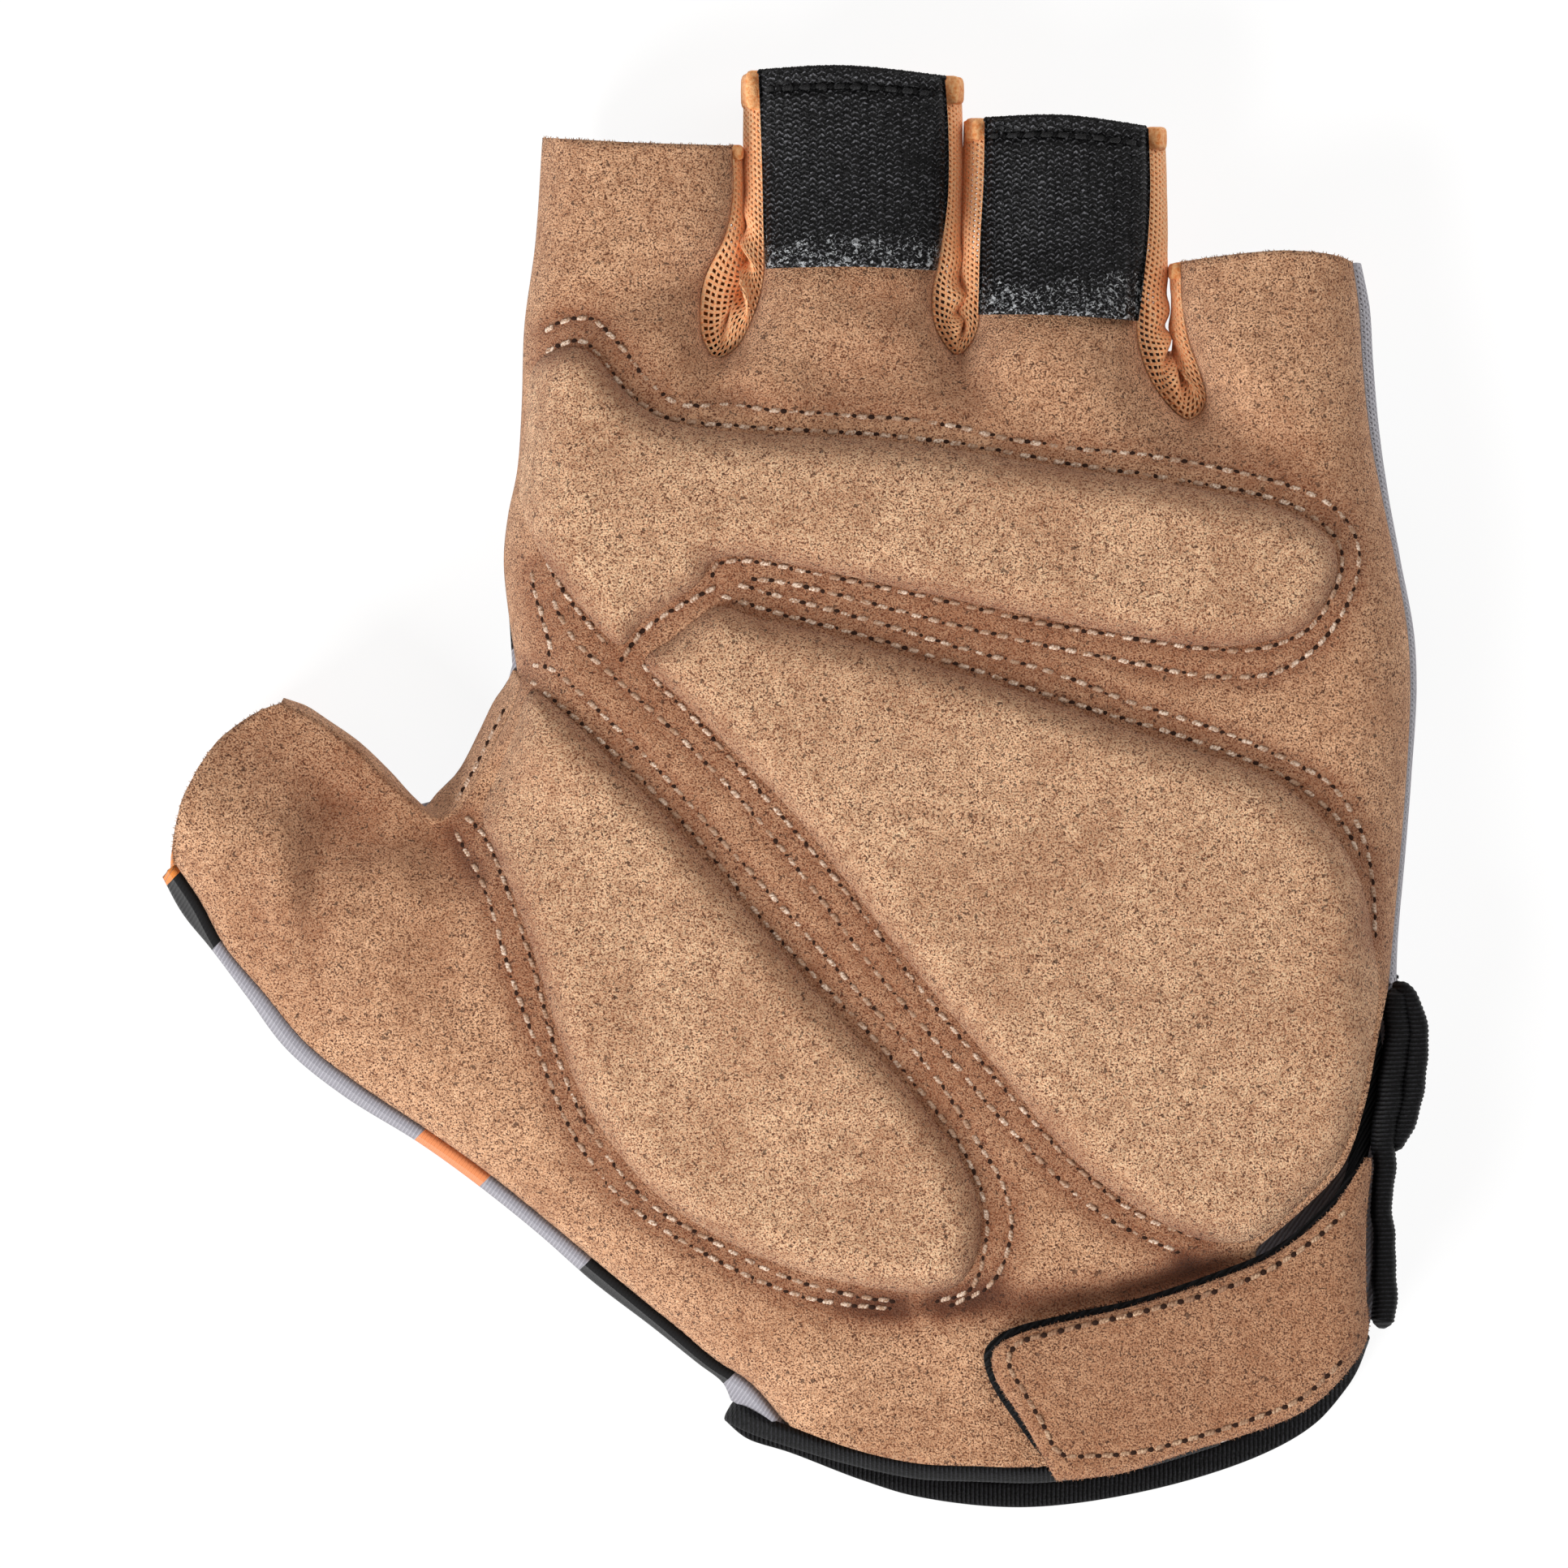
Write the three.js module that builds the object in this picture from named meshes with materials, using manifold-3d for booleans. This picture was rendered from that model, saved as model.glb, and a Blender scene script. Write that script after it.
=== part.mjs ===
import * as THREE from "three";
import { mergeVertices } from "three/addons/utils/BufferGeometryUtils.js";
import Module from "manifold-3d";

// Fingerless cycling glove for the left hand, lying on its back with the palm up.
// Millimetres: X towards the little finger, Y towards the finger openings, Z up from the floor.

const suedeThickness = 1.5;
const backThickness = 1.2;
const netThickness = 1.0;
const seamGap = 0.3;
const rollWidth = 8.0;
const palmCell = 5.6;
const backCell = 6.6;
const padCell = 4.6;
const padEdge = 1.0;
const padHeight = 3.3;
const padShoulder = 6.0;
const tabThickness = 1.5;
const tabLift = 1.2;
const hookThickness = 1.2;
const strapThickness = 1.8;

const seamHeight = {
  palm: { side: 9.65, web: 13.2, outer: 12.2, thumb: 14.6, wrap: 13.4 },
  back: { side: 9.35, web: 4.2, outer: 6.4, thumb: 6.6, wrap: 8.4, wrist: 10.8 },
};

// A table turns rows of numbers into rows with named columns.
function table(names, rows) {
  const keys = names.split(" ");
  return rows.map((row) => Object.fromEntries(keys.map((key, i) => [key, row[i]])));
}

// Upper outline of the hand from the fingers to the wrist: height on the middle line and the
// fall at 45 mm to either side of it.
const crown = table("y middle height fall", [
  [82, 14, 17.0, 0.8],
  [62, 14, 17.6, 1.0],
  [48, 15, 19.6, 1.6],
  [30, 16, 22.4, 3.0],
  [6, 16, 24.0, 4.4],
  [-24, 16, 24.0, 5.0],
  [-50, 20, 21.4, 4.4],
  [-80, 24, 18.0, 3.6],
]);

const thumb = { base: [-37, -19], tip: [-63.6, 0.4], height: 19.6, fall: 2.4, lift: 3.0, half: 11.5 };

// Fourchettes: the suede edge above, the back edge below, and how far the net stands out.
const webIndexMiddle = table("palmX palmY backX backY bulge", [
  [-7.1, 71.4, -7.6, 70.6, 1.2],
  [-7.0, 65.9, -7.6, 66.0, 1.2],
  [-7.9, 61.4, -7.6, 62.0, 1.2],
  [-10.2, 56.4, -7.7, 59.5, 0.9],
  [-10.7, 52.6, -7.5, 58.0, 0.5],
  [-10.3, 49.7, -7.0, 57.0, 0.2],
  [-9.0, 47.8, -5.9, 56.3, 0.1],
  [-6.8, 48.8, -4.9, 56.9, 0.2],
  [-5.0, 51.9, -4.2, 58.2, 0.4],
  [-3.7, 56.0, -3.8, 60.5, 0.9],
  [-3.5, 60.5, -3.6, 63.5, 1.3],
  [-3.7, 69.5, -3.6, 70.0, 1.4],
  [-3.9, 79.7, -3.8, 78.8, 1.4],
]);
const webMiddleRing = table("palmX palmY backX backY bulge", [
  [16.3, 79.0, 16.2, 78.2, 1.6],
  [16.7, 73.1, 16.5, 72.0, 1.5],
  [16.6, 65.0, 16.5, 63.5, 1.2],
  [15.9, 58.7, 16.4, 57.0, 0.9],
  [15.1, 55.1, 16.6, 54.4, 0.6],
  [15.5, 51.0, 17.2, 52.6, 0.3],
  [17.9, 48.1, 18.4, 51.8, 0.2],
  [20.0, 50.6, 19.6, 52.6, 0.3],
  [20.4, 54.2, 20.2, 54.6, 0.6],
  [20.6, 60.5, 20.6, 60.0, 1.0],
  [21.0, 67.7, 21.0, 67.0, 1.3],
  [21.2, 74.4, 21.2, 73.6, 1.4],
]);
const webRingLittle = table("palmX palmY backX backY bulge", [
  [38.9, 73.4, 38.7, 72.6, 1.7],
  [39.1, 66.8, 38.9, 66.0, 1.5],
  [38.8, 60.5, 38.8, 59.5, 1.3],
  [37.9, 54.2, 38.8, 54.0, 1.2],
  [38.0, 49.2, 39.2, 50.8, 0.6],
  [40.1, 44.1, 40.2, 48.9, 0.3],
  [43.6, 40.9, 41.4, 48.5, 0.2],
  [45.5, 42.8, 42.3, 49.3, 0.2],
  [44.9, 46.1, 42.8, 51.0, 0.3],
  [43.6, 49.7, 43.0, 53.0, 0.5],
  [42.8, 54.2, 42.9, 55.6, 0.8],
  [42.7, 58.5, 42.8, 57.8, 0.9],
]);

// Inner side of the thumb, from its opening round the web to the side of the palm.
const thumbCrotch = table("palmX palmY backX backY bulge", [
  [-57.2, 9.5, -57.0, 9.6, 0.6],
  [-54.8, 8.3, -54.6, 9.0, 0.6],
  [-52.3, 6.9, -52.2, 7.3, 0.6],
  [-48.7, 4.2, -48.9, 5.1, 0.6],
  [-44.9, 0.4, -45.4, 2.0, 0.5],
  [-42.0, -2.0, -42.8, -1.0, 0.4],
  [-39.7, -3.4, -41.4, -2.0, 0.3],
  [-37.4, -2.2, -39.9, -0.4, 0.3],
  [-35.2, 1.5, -37.7, 1.8, 0.4],
  [-32.7, 6.5, -35.2, 6.5, 0.4],
  [-31.2, 9.6, -33.6, 9.8, 0.3],
  [-30.6, 11.6, -32.2, 11.8, 0.2],
  [-31.0, 13.1, -31.5, 13.2, 0.1],
]);

// Outer side of the little finger and hand, finger opening to wrist slit.
const ulnarSide = table("palmX palmY backX backY bulge", [
  [61.8, 58.4, 61.7, 57.8, 0.7],
  [62.5, 53.3, 62.6, 53.3, 0.8],
  [62.9, 47.0, 63.0, 47.0, 0.8],
  [63.8, 38.9, 63.9, 38.9, 0.7],
  [65.2, 31.7, 65.2, 31.7, 0.5],
  [66.7, 24.5, 66.7, 24.5, 0.4],
  [67.9, 17.3, 67.9, 17.3, 0.5],
  [68.2, 11.0, 68.2, 11.0, 0.5],
  [67.8, 2.0, 67.8, 2.0, 0.4],
  [67.1, -7.0, 67.1, -7.0, 0.4],
  [66.3, -16.0, 66.3, -16.0, 0.4],
  [65.8, -21.6, 66.3, -21.6, 0.4],
]);

// Back fabric where it wraps round the thumb side to meet the suede, thumb opening to wrist.
const thumbWrap = table("palmX palmY backX backY bulge", [
  [-68.9, -8.4, -69.5, -9.3, 0.4],
  [-66.2, -12.4, -67.4, -13.2, 0.4],
  [-63.5, -17.4, -64.2, -17.1, 0.5],
  [-59.0, -22.8, -60.1, -22.6, 0.5],
  [-54.5, -28.2, -55.9, -28.2, 0.5],
  [-48.7, -32.7, -49.8, -33.2, 0.5],
  [-40.6, -38.1, -41.4, -38.4, 0.5],
  [-34.3, -42.6, -35.0, -43.0, 0.5],
  [-27.1, -48.4, -28.0, -48.6, 0.5],
  [-21.7, -52.9, -22.0, -53.9, 0.5],
  [-14.5, -58.8, -15.3, -59.0, 0.5],
  [-9.1, -63.3, -10.4, -62.9, 0.5],
  [-5.0, -66.0, -7.4, -65.3, 0.4],
  [-1.0, -70.6, -6.4, -67.6, 0.3],
]);

const palmOf = (rows) => rows.map((r) => [r.palmX, r.palmY]);
const backOf = (rows) => rows.map((r) => [r.backX, r.backY]);
const turned = (points) => points.slice().reverse();

const palmLeft = [[-31.0, 13.1], [-31.9, 19.1], [-32.5, 25.4], [-32.0, 30.5], [-31.0, 35.3],
  [-30.5, 42.5], [-30.2, 51.5], [-29.0, 60.5], [-28.2, 72.3]];
const palmRuns = [
  { kind: "open", points: [[-28.2, 72.3], [-17.6, 71.7], [-7.1, 71.4]] },
  { kind: "web", points: palmOf(webIndexMiddle) },
  { kind: "open", points: [[-3.9, 79.7], [5.3, 80.1], [16.3, 79.0]] },
  { kind: "web", points: palmOf(webMiddleRing) },
  { kind: "open", points: [[21.2, 74.4], [29.6, 74.6], [38.9, 73.4]] },
  { kind: "web", points: palmOf(webRingLittle) },
  { kind: "open", points: [[42.7, 58.5], [46.7, 59.1], [53.0, 59.7], [59.3, 59.7], [61.8, 58.4]] },
  { kind: "outer", points: palmOf(ulnarSide) },
  { kind: "open", points: [[65.8, -21.6], [64.5, -27.7], [63.1, -34.9], [60.7, -41.7],
    [56.2, -46.6], [50.8, -51.1]] },
  { kind: "open", points: [[50.8, -51.1], [49.4, -60.0], [48.4, -70.4]] },
  { kind: "open", points: [[48.4, -70.4], [37.7, -73.6], [27.8, -75.2], [19.7, -75.1],
    [13.4, -74.8], [6.2, -73.2], [-1.0, -70.6]] },
  { kind: "wrap", points: turned(palmOf(thumbWrap)) },
  { kind: "open", points: [[-68.9, -8.4], [-69.4, -5.0], [-66.9, 1.3], [-63.7, 5.9],
    [-60.4, 8.5], [-57.2, 9.5]] },
  { kind: "thumb", points: palmOf(thumbCrotch) },
  { kind: "side", points: palmLeft },
];
const backRuns = [
  { kind: "open", points: [[-28.2, 71.5], [-17.6, 70.9], [-7.6, 70.6]] },
  { kind: "web", points: backOf(webIndexMiddle) },
  { kind: "open", points: [[-3.8, 78.8], [5.3, 79.3], [16.2, 78.2]] },
  { kind: "web", points: backOf(webMiddleRing) },
  { kind: "open", points: [[21.2, 73.6], [29.6, 73.8], [38.7, 72.6]] },
  { kind: "web", points: backOf(webRingLittle) },
  { kind: "open", points: [[42.8, 57.8], [53.0, 58.9], [61.7, 57.8]] },
  { kind: "outer", points: backOf(ulnarSide) },
  { kind: "wrist", points: [[66.3, -21.6], [67.4, -28.0], [67.2, -34.0], [65.8, -41.0],
    [65.0, -48.0], [64.8, -55.0], [63.4, -60.4]] },
  { kind: "open", points: [[63.4, -60.4], [60.2, -64.6], [57.0, -67.8], [50.5, -71.4],
    [39.0, -75.0], [25.6, -77.0], [14.3, -75.9], [8.0, -74.0], [1.7, -71.8], [-3.6, -70.0],
    [-6.4, -67.6]] },
  { kind: "wrap", points: turned(backOf(thumbWrap)) },
  { kind: "open", points: [[-69.5, -9.3], [-69.6, -6.0], [-66.6, 1.0], [-63.4, 5.6],
    [-60.2, 8.4], [-57.0, 9.6]] },
  { kind: "thumb", points: backOf(thumbCrotch) },
  { kind: "side", points: [[-31.5, 13.2], ...palmLeft.slice(1, -1), [-28.2, 71.5]] },
];

const knuckleOutline = [[-28.6, 47.4], [-25.3, 49.6], [-21.9, 49.0], [-19.7, 46.2], [-16.5, 42.8],
  [-13.4, 41.1], [-7.3, 40.6], [10.7, 39.4], [29.6, 36.5], [46.7, 33.6], [56.8, 30.4],
  [60.6, 27.6], [61.6, 24.3], [59.8, 18.9], [55.7, 16.4], [46.7, 15.1], [32.3, 17.1],
  [14.3, 20.9], [1.7, 23.6], [-6.6, 24.9], [-9.0, 24.0], [-10.4, 22.2], [-14.9, 19.4],
  [-17.4, 17.6], [-19.4, 15.6], [-21.9, 17.4], [-25.5, 21.2], [-28.6, 24.6]];
const ulnarOutline = [[-17.4, 14.0], [-14.0, 17.0], [-11.6, 19.2], [-8.6, 20.9], [-4.6, 19.6],
  [1.7, 18.2], [10.7, 15.7], [22.4, 12.4], [36.8, 7.2], [46.7, 4.1], [53.9, 1.3], [59.3, -2.7],
  [62.0, -6.3], [63.4, -10.8], [64.0, -17.0], [63.9, -22.0], [63.3, -27.9], [61.9, -34.0],
  [59.7, -40.3], [55.7, -45.4], [50.8, -49.2], [46.0, -50.0], [42.2, -49.4], [35.9, -46.2],
  [30.5, -42.2], [26.0, -37.0], [19.7, -29.4], [12.5, -20.8], [5.3, -11.4], [-0.5, -4.2],
  [-7.3, 3.0], [-13.6, 9.8]];
const thenarOutline = [[-28.6, 10.6], [-26.4, 9.8], [-24.0, 7.6], [-19.0, 2.4], [-13.6, -3.0],
  [-8.2, -9.3], [-1.9, -16.0], [5.3, -24.6], [12.5, -31.8], [15.2, -35.8], [18.4, -39.6],
  [20.9, -45.7], [21.2, -49.3], [20.4, -52.9], [18.8, -55.6], [15.2, -56.6], [6.2, -55.7],
  [-1.9, -53.6], [-9.1, -50.4], [-15.8, -46.0], [-20.3, -41.1], [-24.8, -33.9], [-27.0, -27.5],
  [-29.2, -20.3], [-31.6, -13.0], [-34.0, -7.2], [-35.4, -2.8], [-33.2, 1.6], [-31.0, 6.4]];
const tabMiddleOutline = [[-3.6, 79.4], [5.3, 79.8], [16.0, 78.7], [16.4, 73.0], [16.3, 65.0],
  [15.4, 57.4], [6.0, 57.6], [-3.2, 58.0], [-3.2, 61.0], [-3.4, 69.5]];
const tabRingOutline = [[21.5, 74.1], [29.6, 74.3], [38.6, 73.1], [38.8, 66.8], [38.5, 60.5],
  [37.7, 51.8], [29.0, 52.3], [20.7, 52.8], [20.9, 60.5], [21.3, 67.7]];
const strapOutline = [[24.2, -60.6], [37.7, -57.2], [46.7, -54.3], [53.0, -51.6], [59.3, -46.6],
  [63.6, -40.8], [63.2, -47.5], [63.2, -55.6], [63.3, -61.0], [59.3, -66.6], [55.7, -69.3],
  [50.3, -71.4], [43.1, -73.6], [35.9, -75.6], [29.2, -76.4], [25.1, -70.0], [21.9, -64.8],
  [21.9, -62.2]];
const hookOutline = [[23.2, -60.1], [30.0, -58.2], [37.7, -56.5], [46.7, -53.5], [53.0, -50.8],
  [58.8, -46.0], [62.6, -41.6], [62.4, -47.5], [62.4, -55.6], [62.0, -60.4], [58.0, -65.6],
  [50.0, -69.8], [42.8, -72.2], [35.6, -74.2], [29.0, -75.2], [24.4, -70.2], [21.2, -65.0],
  [20.9, -62.2]];
const gussetOutline = [[64.4, -24.6], [65.0, -28.6], [64.9, -34.0], [63.4, -41.0], [62.7, -46.0],
  [62.4, -52.0], [61.8, -59.0], [52.4, -59.6], [52.0, -52.4], [55.4, -49.4], [60.6, -43.6],
  [61.8, -36.0], [62.9, -29.0]];

// Wrist slit edging: middle line of the folded band, its height and its width.
const slitRows = table("x y z tall wide", [
  [66.9, -22.4, 13.6, 3.6, 2.0],
  [67.7, -25.6, 14.6, 5.0, 2.2],
  [67.7, -30.0, 14.8, 6.2, 2.4],
  [67.0, -34.0, 15.2, 6.6, 2.2],
  [66.6, -37.4, 15.4, 6.6, 2.4],
  [65.4, -41.4, 15.6, 6.4, 2.1],
  [65.2, -45.6, 15.4, 6.2, 2.4],
  [64.9, -50.4, 15.2, 6.0, 2.3],
  [65.1, -55.2, 14.8, 6.0, 2.5],
  [64.9, -59.6, 14.4, 5.8, 2.2],
]);

// Wrist opening edging: over the palm side, down the thumb side and along the back.
const cuffRows = table("x y z out dip", [
  [47.5, -72.0, 15.0, -84, 80],
  [38.0, -74.9, 15.5, -86, 80],
  [27.8, -76.4, 15.6, -90, 80],
  [19.7, -76.3, 15.5, -92, 80],
  [13.4, -76.0, 15.2, -94, 80],
  [6.2, -74.5, 14.6, -100, 78],
  [0.8, -72.8, 13.6, -108, 70],
  [-3.6, -71.2, 11.6, -114, 50],
  [-6.4, -70.4, 8.6, -118, 30],
  [-6.6, -70.6, 5.6, -120, 15],
  [-4.4, -71.6, 3.0, -112, 5],
  [-0.2, -72.7, 1.5, -108, 0],
  [7.6, -75.5, 1.2, -106, 0],
  [14.0, -77.4, 1.2, -100, 0],
  [25.6, -78.5, 1.2, -90, 0],
  [39.6, -76.5, 1.3, -76, 0],
  [51.4, -72.7, 1.8, -68, 0],
  [58.4, -68.8, 3.6, -52, 0],
  [61.6, -65.6, 5.8, -46, 0],
]);
const cuffWidth = 2.9;
const cuffThickness = 1.3;

// Plane geometry helpers.
function sampleRun(points, spacing) {
  const path = new THREE.CatmullRomCurve3(points.map(([x, y]) => new THREE.Vector3(x, y, 0)),
    false, "centripetal");
  const count = Math.max(2, Math.round(path.getLength() / spacing));
  return path.getSpacedPoints(count).map((p) => [p.x, p.y]);
}

function closedOutline(points, spacing) {
  const path = new THREE.CatmullRomCurve3(points.map(([x, y]) => new THREE.Vector3(x, y, 0)),
    true, "centripetal");
  const count = Math.round(path.getLength() / spacing);
  return path.getSpacedPoints(count).slice(0, count).map((p) => [p.x, p.y]);
}

function nearestOn(line, x, y) {
  let best = { d: Infinity, x: 0, y: 0 };
  for (let i = 0; i + 1 < line.length; i += 1) {
    const [ax, ay] = line[i];
    const dx = line[i + 1][0] - ax;
    const dy = line[i + 1][1] - ay;
    const along = ((x - ax) * dx + (y - ay) * dy) / (dx * dx + dy * dy || 1);
    const t = Math.min(1, Math.max(0, along));
    const d = Math.hypot(x - ax - t * dx, y - ay - t * dy);
    if (d < best.d) best = { d, x: ax + t * dx, y: ay + t * dy };
  }
  return best;
}

function insideOf(loop, x, y) {
  let inside = false;
  for (let i = 0, j = loop.length - 1; i < loop.length; j = i, i += 1) {
    const [xi, yi] = loop[i];
    const [xj, yj] = loop[j];
    if (yi > y !== yj > y && x < ((xj - xi) * (y - yi)) / (yj - yi) + xi) inside = !inside;
  }
  return inside;
}

const smooth = (from, to, value) => THREE.MathUtils.smoothstep(value, from, to);

// Height of the palm side away from its seams.
function between(rows, key, y) {
  for (let i = 0; i + 1 < rows.length; i += 1) {
    const a = rows[i];
    const b = rows[i + 1];
    if (y >= b.y || i + 2 === rows.length) {
      const t = Math.min(1, Math.max(0, (a.y - y) / (a.y - b.y)));
      return a[key] + (b[key] - a[key]) * t * t * (3 - 2 * t);
    }
  }
  return rows[0][key];
}

const thumbLength = Math.hypot(thumb.tip[0] - thumb.base[0], thumb.tip[1] - thumb.base[1]);
const thumbWay = [(thumb.tip[0] - thumb.base[0]) / thumbLength,
  (thumb.tip[1] - thumb.base[1]) / thumbLength];

function thumbShare(x, y) {
  const dx = x - thumb.base[0];
  const dy = y - thumb.base[1];
  const along = dx * thumbWay[0] + dy * thumbWay[1];
  const across = dy * thumbWay[0] - dx * thumbWay[1];
  return { along, across, share: smooth(-4, 18, along) * (1 - smooth(15, 24, Math.abs(across))) };
}

function palmCrown(x, y) {
  const side = (x - between(crown, "middle", y)) / 45;
  const hand = between(crown, "height", y) - between(crown, "fall", y) * side * side;
  const t = thumbShare(x, y);
  const onThumb = thumb.height - thumb.fall * (t.across / thumb.half) ** 2;
  return hand + (onThumb - hand) * t.share;
}

function backFloor(x, y) {
  const t = thumbShare(x, y);
  return thumb.lift * t.share * smooth(4, 26, t.along) + 1.2 * smooth(56, 82, y);
}

// A side of the glove: its outline, and its height above any point inside the outline.
function makeSide(runs, seams, flat) {
  const lines = runs.map((run) => ({ kind: run.kind, line: sampleRun(run.points, 1.2) }));
  const seamLines = lines.filter((l) => l.kind !== "open");
  const height = (x, y) => {
    const level = flat(x, y);
    let move = 0;
    for (const { kind, line } of seamLines) {
      const d = nearestOn(line, x, y).d;
      if (d >= rollWidth) continue;
      const rise = Math.sqrt(Math.max(0, 1 - (1 - d / rollWidth) ** 2));
      const change = (seams[kind] - level) * (1 - rise);
      if (Math.abs(change) > Math.abs(move)) move = change;
    }
    return level + move;
  };
  const place = (x, y) => {
    let near = { d: Infinity };
    for (const { line } of seamLines) {
      const found = nearestOn(line, x, y);
      if (found.d < near.d) near = found;
    }
    if (near.d >= rollWidth || near.d < 1e-6) return [x, y, height(x, y)];
    const turn = rollWidth * (1 - Math.cos((Math.PI / 2) * (near.d / rollWidth)));
    const px = near.x + ((x - near.x) / near.d) * turn;
    const py = near.y + ((y - near.y) / near.d) * turn;
    return [px, py, height(px, py)];
  };
  const rim = (x, y) => {
    const near = seamLines.map(({ line }) => nearestOn(line, x, y)).sort((a, b) => a.d - b.d)[0];
    return height(near.x, near.y);
  };
  const onSeam = (x, y) => seamLines.some(({ line }) => nearestOn(line, x, y).d < 0.05);
  return { runs, height, place, rim, onSeam };
}

// Triangles over scattered points, each with no other point in its circle.
function triangulate(points) {
  const far = 4000;
  const all = points.concat([[-far, -far], [far, -far], [0, far]]);
  const circle = (a, b, c) => {
    const [ax, ay] = all[a];
    const bx = all[b][0] - ax;
    const by = all[b][1] - ay;
    const cx = all[c][0] - ax;
    const cy = all[c][1] - ay;
    const twice = 2 * (bx * cy - by * cx);
    const ux = (cy * (bx * bx + by * by) - by * (cx * cx + cy * cy)) / twice;
    const uy = (bx * (cx * cx + cy * cy) - cx * (bx * bx + by * by)) / twice;
    return { a, b, c, x: ax + ux, y: ay + uy, r2: ux * ux + uy * uy };
  };
  let triangles = [circle(points.length, points.length + 1, points.length + 2)];
  points.forEach(([px, py], index) => {
    const edges = new Map();
    const kept = [];
    for (const t of triangles) {
      const dx = px - t.x;
      const dy = py - t.y;
      if (dx * dx + dy * dy >= t.r2) {
        kept.push(t);
        continue;
      }
      for (const [p, q] of [[t.a, t.b], [t.b, t.c], [t.c, t.a]]) {
        if (edges.has(`${q}_${p}`)) edges.delete(`${q}_${p}`);
        else edges.set(`${p}_${q}`, [p, q]);
      }
    }
    for (const [p, q] of edges.values()) kept.push(circle(p, q, index));
    triangles = kept;
  });
  return triangles.filter((t) => Math.max(t.a, t.b, t.c) < points.length);
}

function meshOver(loop, cell) {
  const xs = loop.map((p) => p[0]);
  const ys = loop.map((p) => p[1]);
  const ring = loop.concat([loop[0]]);
  const points = loop.map(([x, y], i) => [x + 1e-5 * Math.sin(7 * i), y + 1e-5 * Math.cos(5 * i)]);
  const rowStep = (cell * Math.sqrt(3)) / 2;
  let row = 0;
  for (let y = Math.min(...ys) + rowStep / 2; y < Math.max(...ys); y += rowStep) {
    row += 1;
    for (let x = Math.min(...xs) + (row % 2 ? 0 : cell / 2); x < Math.max(...xs); x += cell) {
      if (insideOf(loop, x, y) && nearestOn(ring, x, y).d > 0.55 * cell) {
        points.push([x + 1e-4 * Math.sin(row), y + 1e-4 * Math.sin(x)]);
      }
    }
  }
  const faces = [];
  for (const t of triangulate(points)) {
    const corners = [points[t.a], points[t.b], points[t.c]];
    const cx = (corners[0][0] + corners[1][0] + corners[2][0]) / 3;
    const cy = (corners[0][1] + corners[1][1] + corners[2][1]) / 3;
    if (!insideOf(loop, cx, cy)) continue;
    const [p, q, r] = corners;
    const area = (q[0] - p[0]) * (r[1] - p[1]) - (q[1] - p[1]) * (r[0] - p[0]);
    if (Math.abs(area) < 1e-4) continue;
    faces.push(area > 0 ? [t.a, t.b, t.c] : [t.a, t.c, t.b]);
  }
  return { points, faces };
}

// Closes an upper and a lower skin with the same faces into one body.
function closeSkins(upper, lower, faces) {
  const count = upper.length;
  const index = [];
  const edges = new Map();
  for (const [a, b, c] of faces) {
    index.push(a, b, c, count + a, count + c, count + b);
    for (const [p, q] of [[a, b], [b, c], [c, a]]) {
      if (edges.has(`${q}_${p}`)) edges.delete(`${q}_${p}`);
      else edges.set(`${p}_${q}`, [p, q]);
    }
  }
  for (const [p, q] of edges.values()) index.push(p, count + p, q, q, count + p, count + q);
  return { positions: upper.concat(lower).flat(), index };
}

function runLoop(runs, spacing) {
  const loop = [];
  for (const run of runs) {
    const tight = run.kind === "web" ? 0.52 : 0.8;
    loop.push(...sampleRun(run.points, spacing * tight).slice(0, -1));
  }
  return loop;
}

// A cloth sheet draped over one side, thickened inwards.
function drape(side, thickness, facing, cell) {
  const { points, faces } = meshOver(runLoop(side.runs, cell), cell);
  const outer = points.map(([x, y]) => side.place(x, y));
  const normals = outer.map(() => new THREE.Vector3());
  for (const [a, b, c] of faces) {
    const p = new THREE.Vector3(...outer[a]);
    const n = new THREE.Vector3(...outer[b]).sub(p)
      .cross(new THREE.Vector3(...outer[c]).sub(p)).multiplyScalar(facing);
    for (const i of [a, b, c]) normals[i].add(n);
  }
  const inner = outer.map(([x, y, z], i) => {
    const n = normals[i];
    if (side.onSeam(points[i][0], points[i][1])) n.z = 0;
    n.normalize();
    return [x - n.x * thickness, y - n.y * thickness, z - n.z * thickness];
  });
  const body = facing > 0 ? closeSkins(outer, inner, faces) : closeSkins(inner, outer, faces);
  return { body, outer, faces };
}

// A flat-cut panel between two height functions.
function panel(outline, cell, upper, lower) {
  const loop = closedOutline(outline, cell * 0.75);
  const { points, faces } = meshOver(loop, cell);
  const ring = loop.concat([loop[0]]);
  const top = points.map(([x, y]) => [x, y, upper(x, y, nearestOn(ring, x, y).d)]);
  const bottom = points.map(([x, y]) => [x, y, lower(x, y)]);
  return closeSkins(top, bottom, faces);
}

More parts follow.
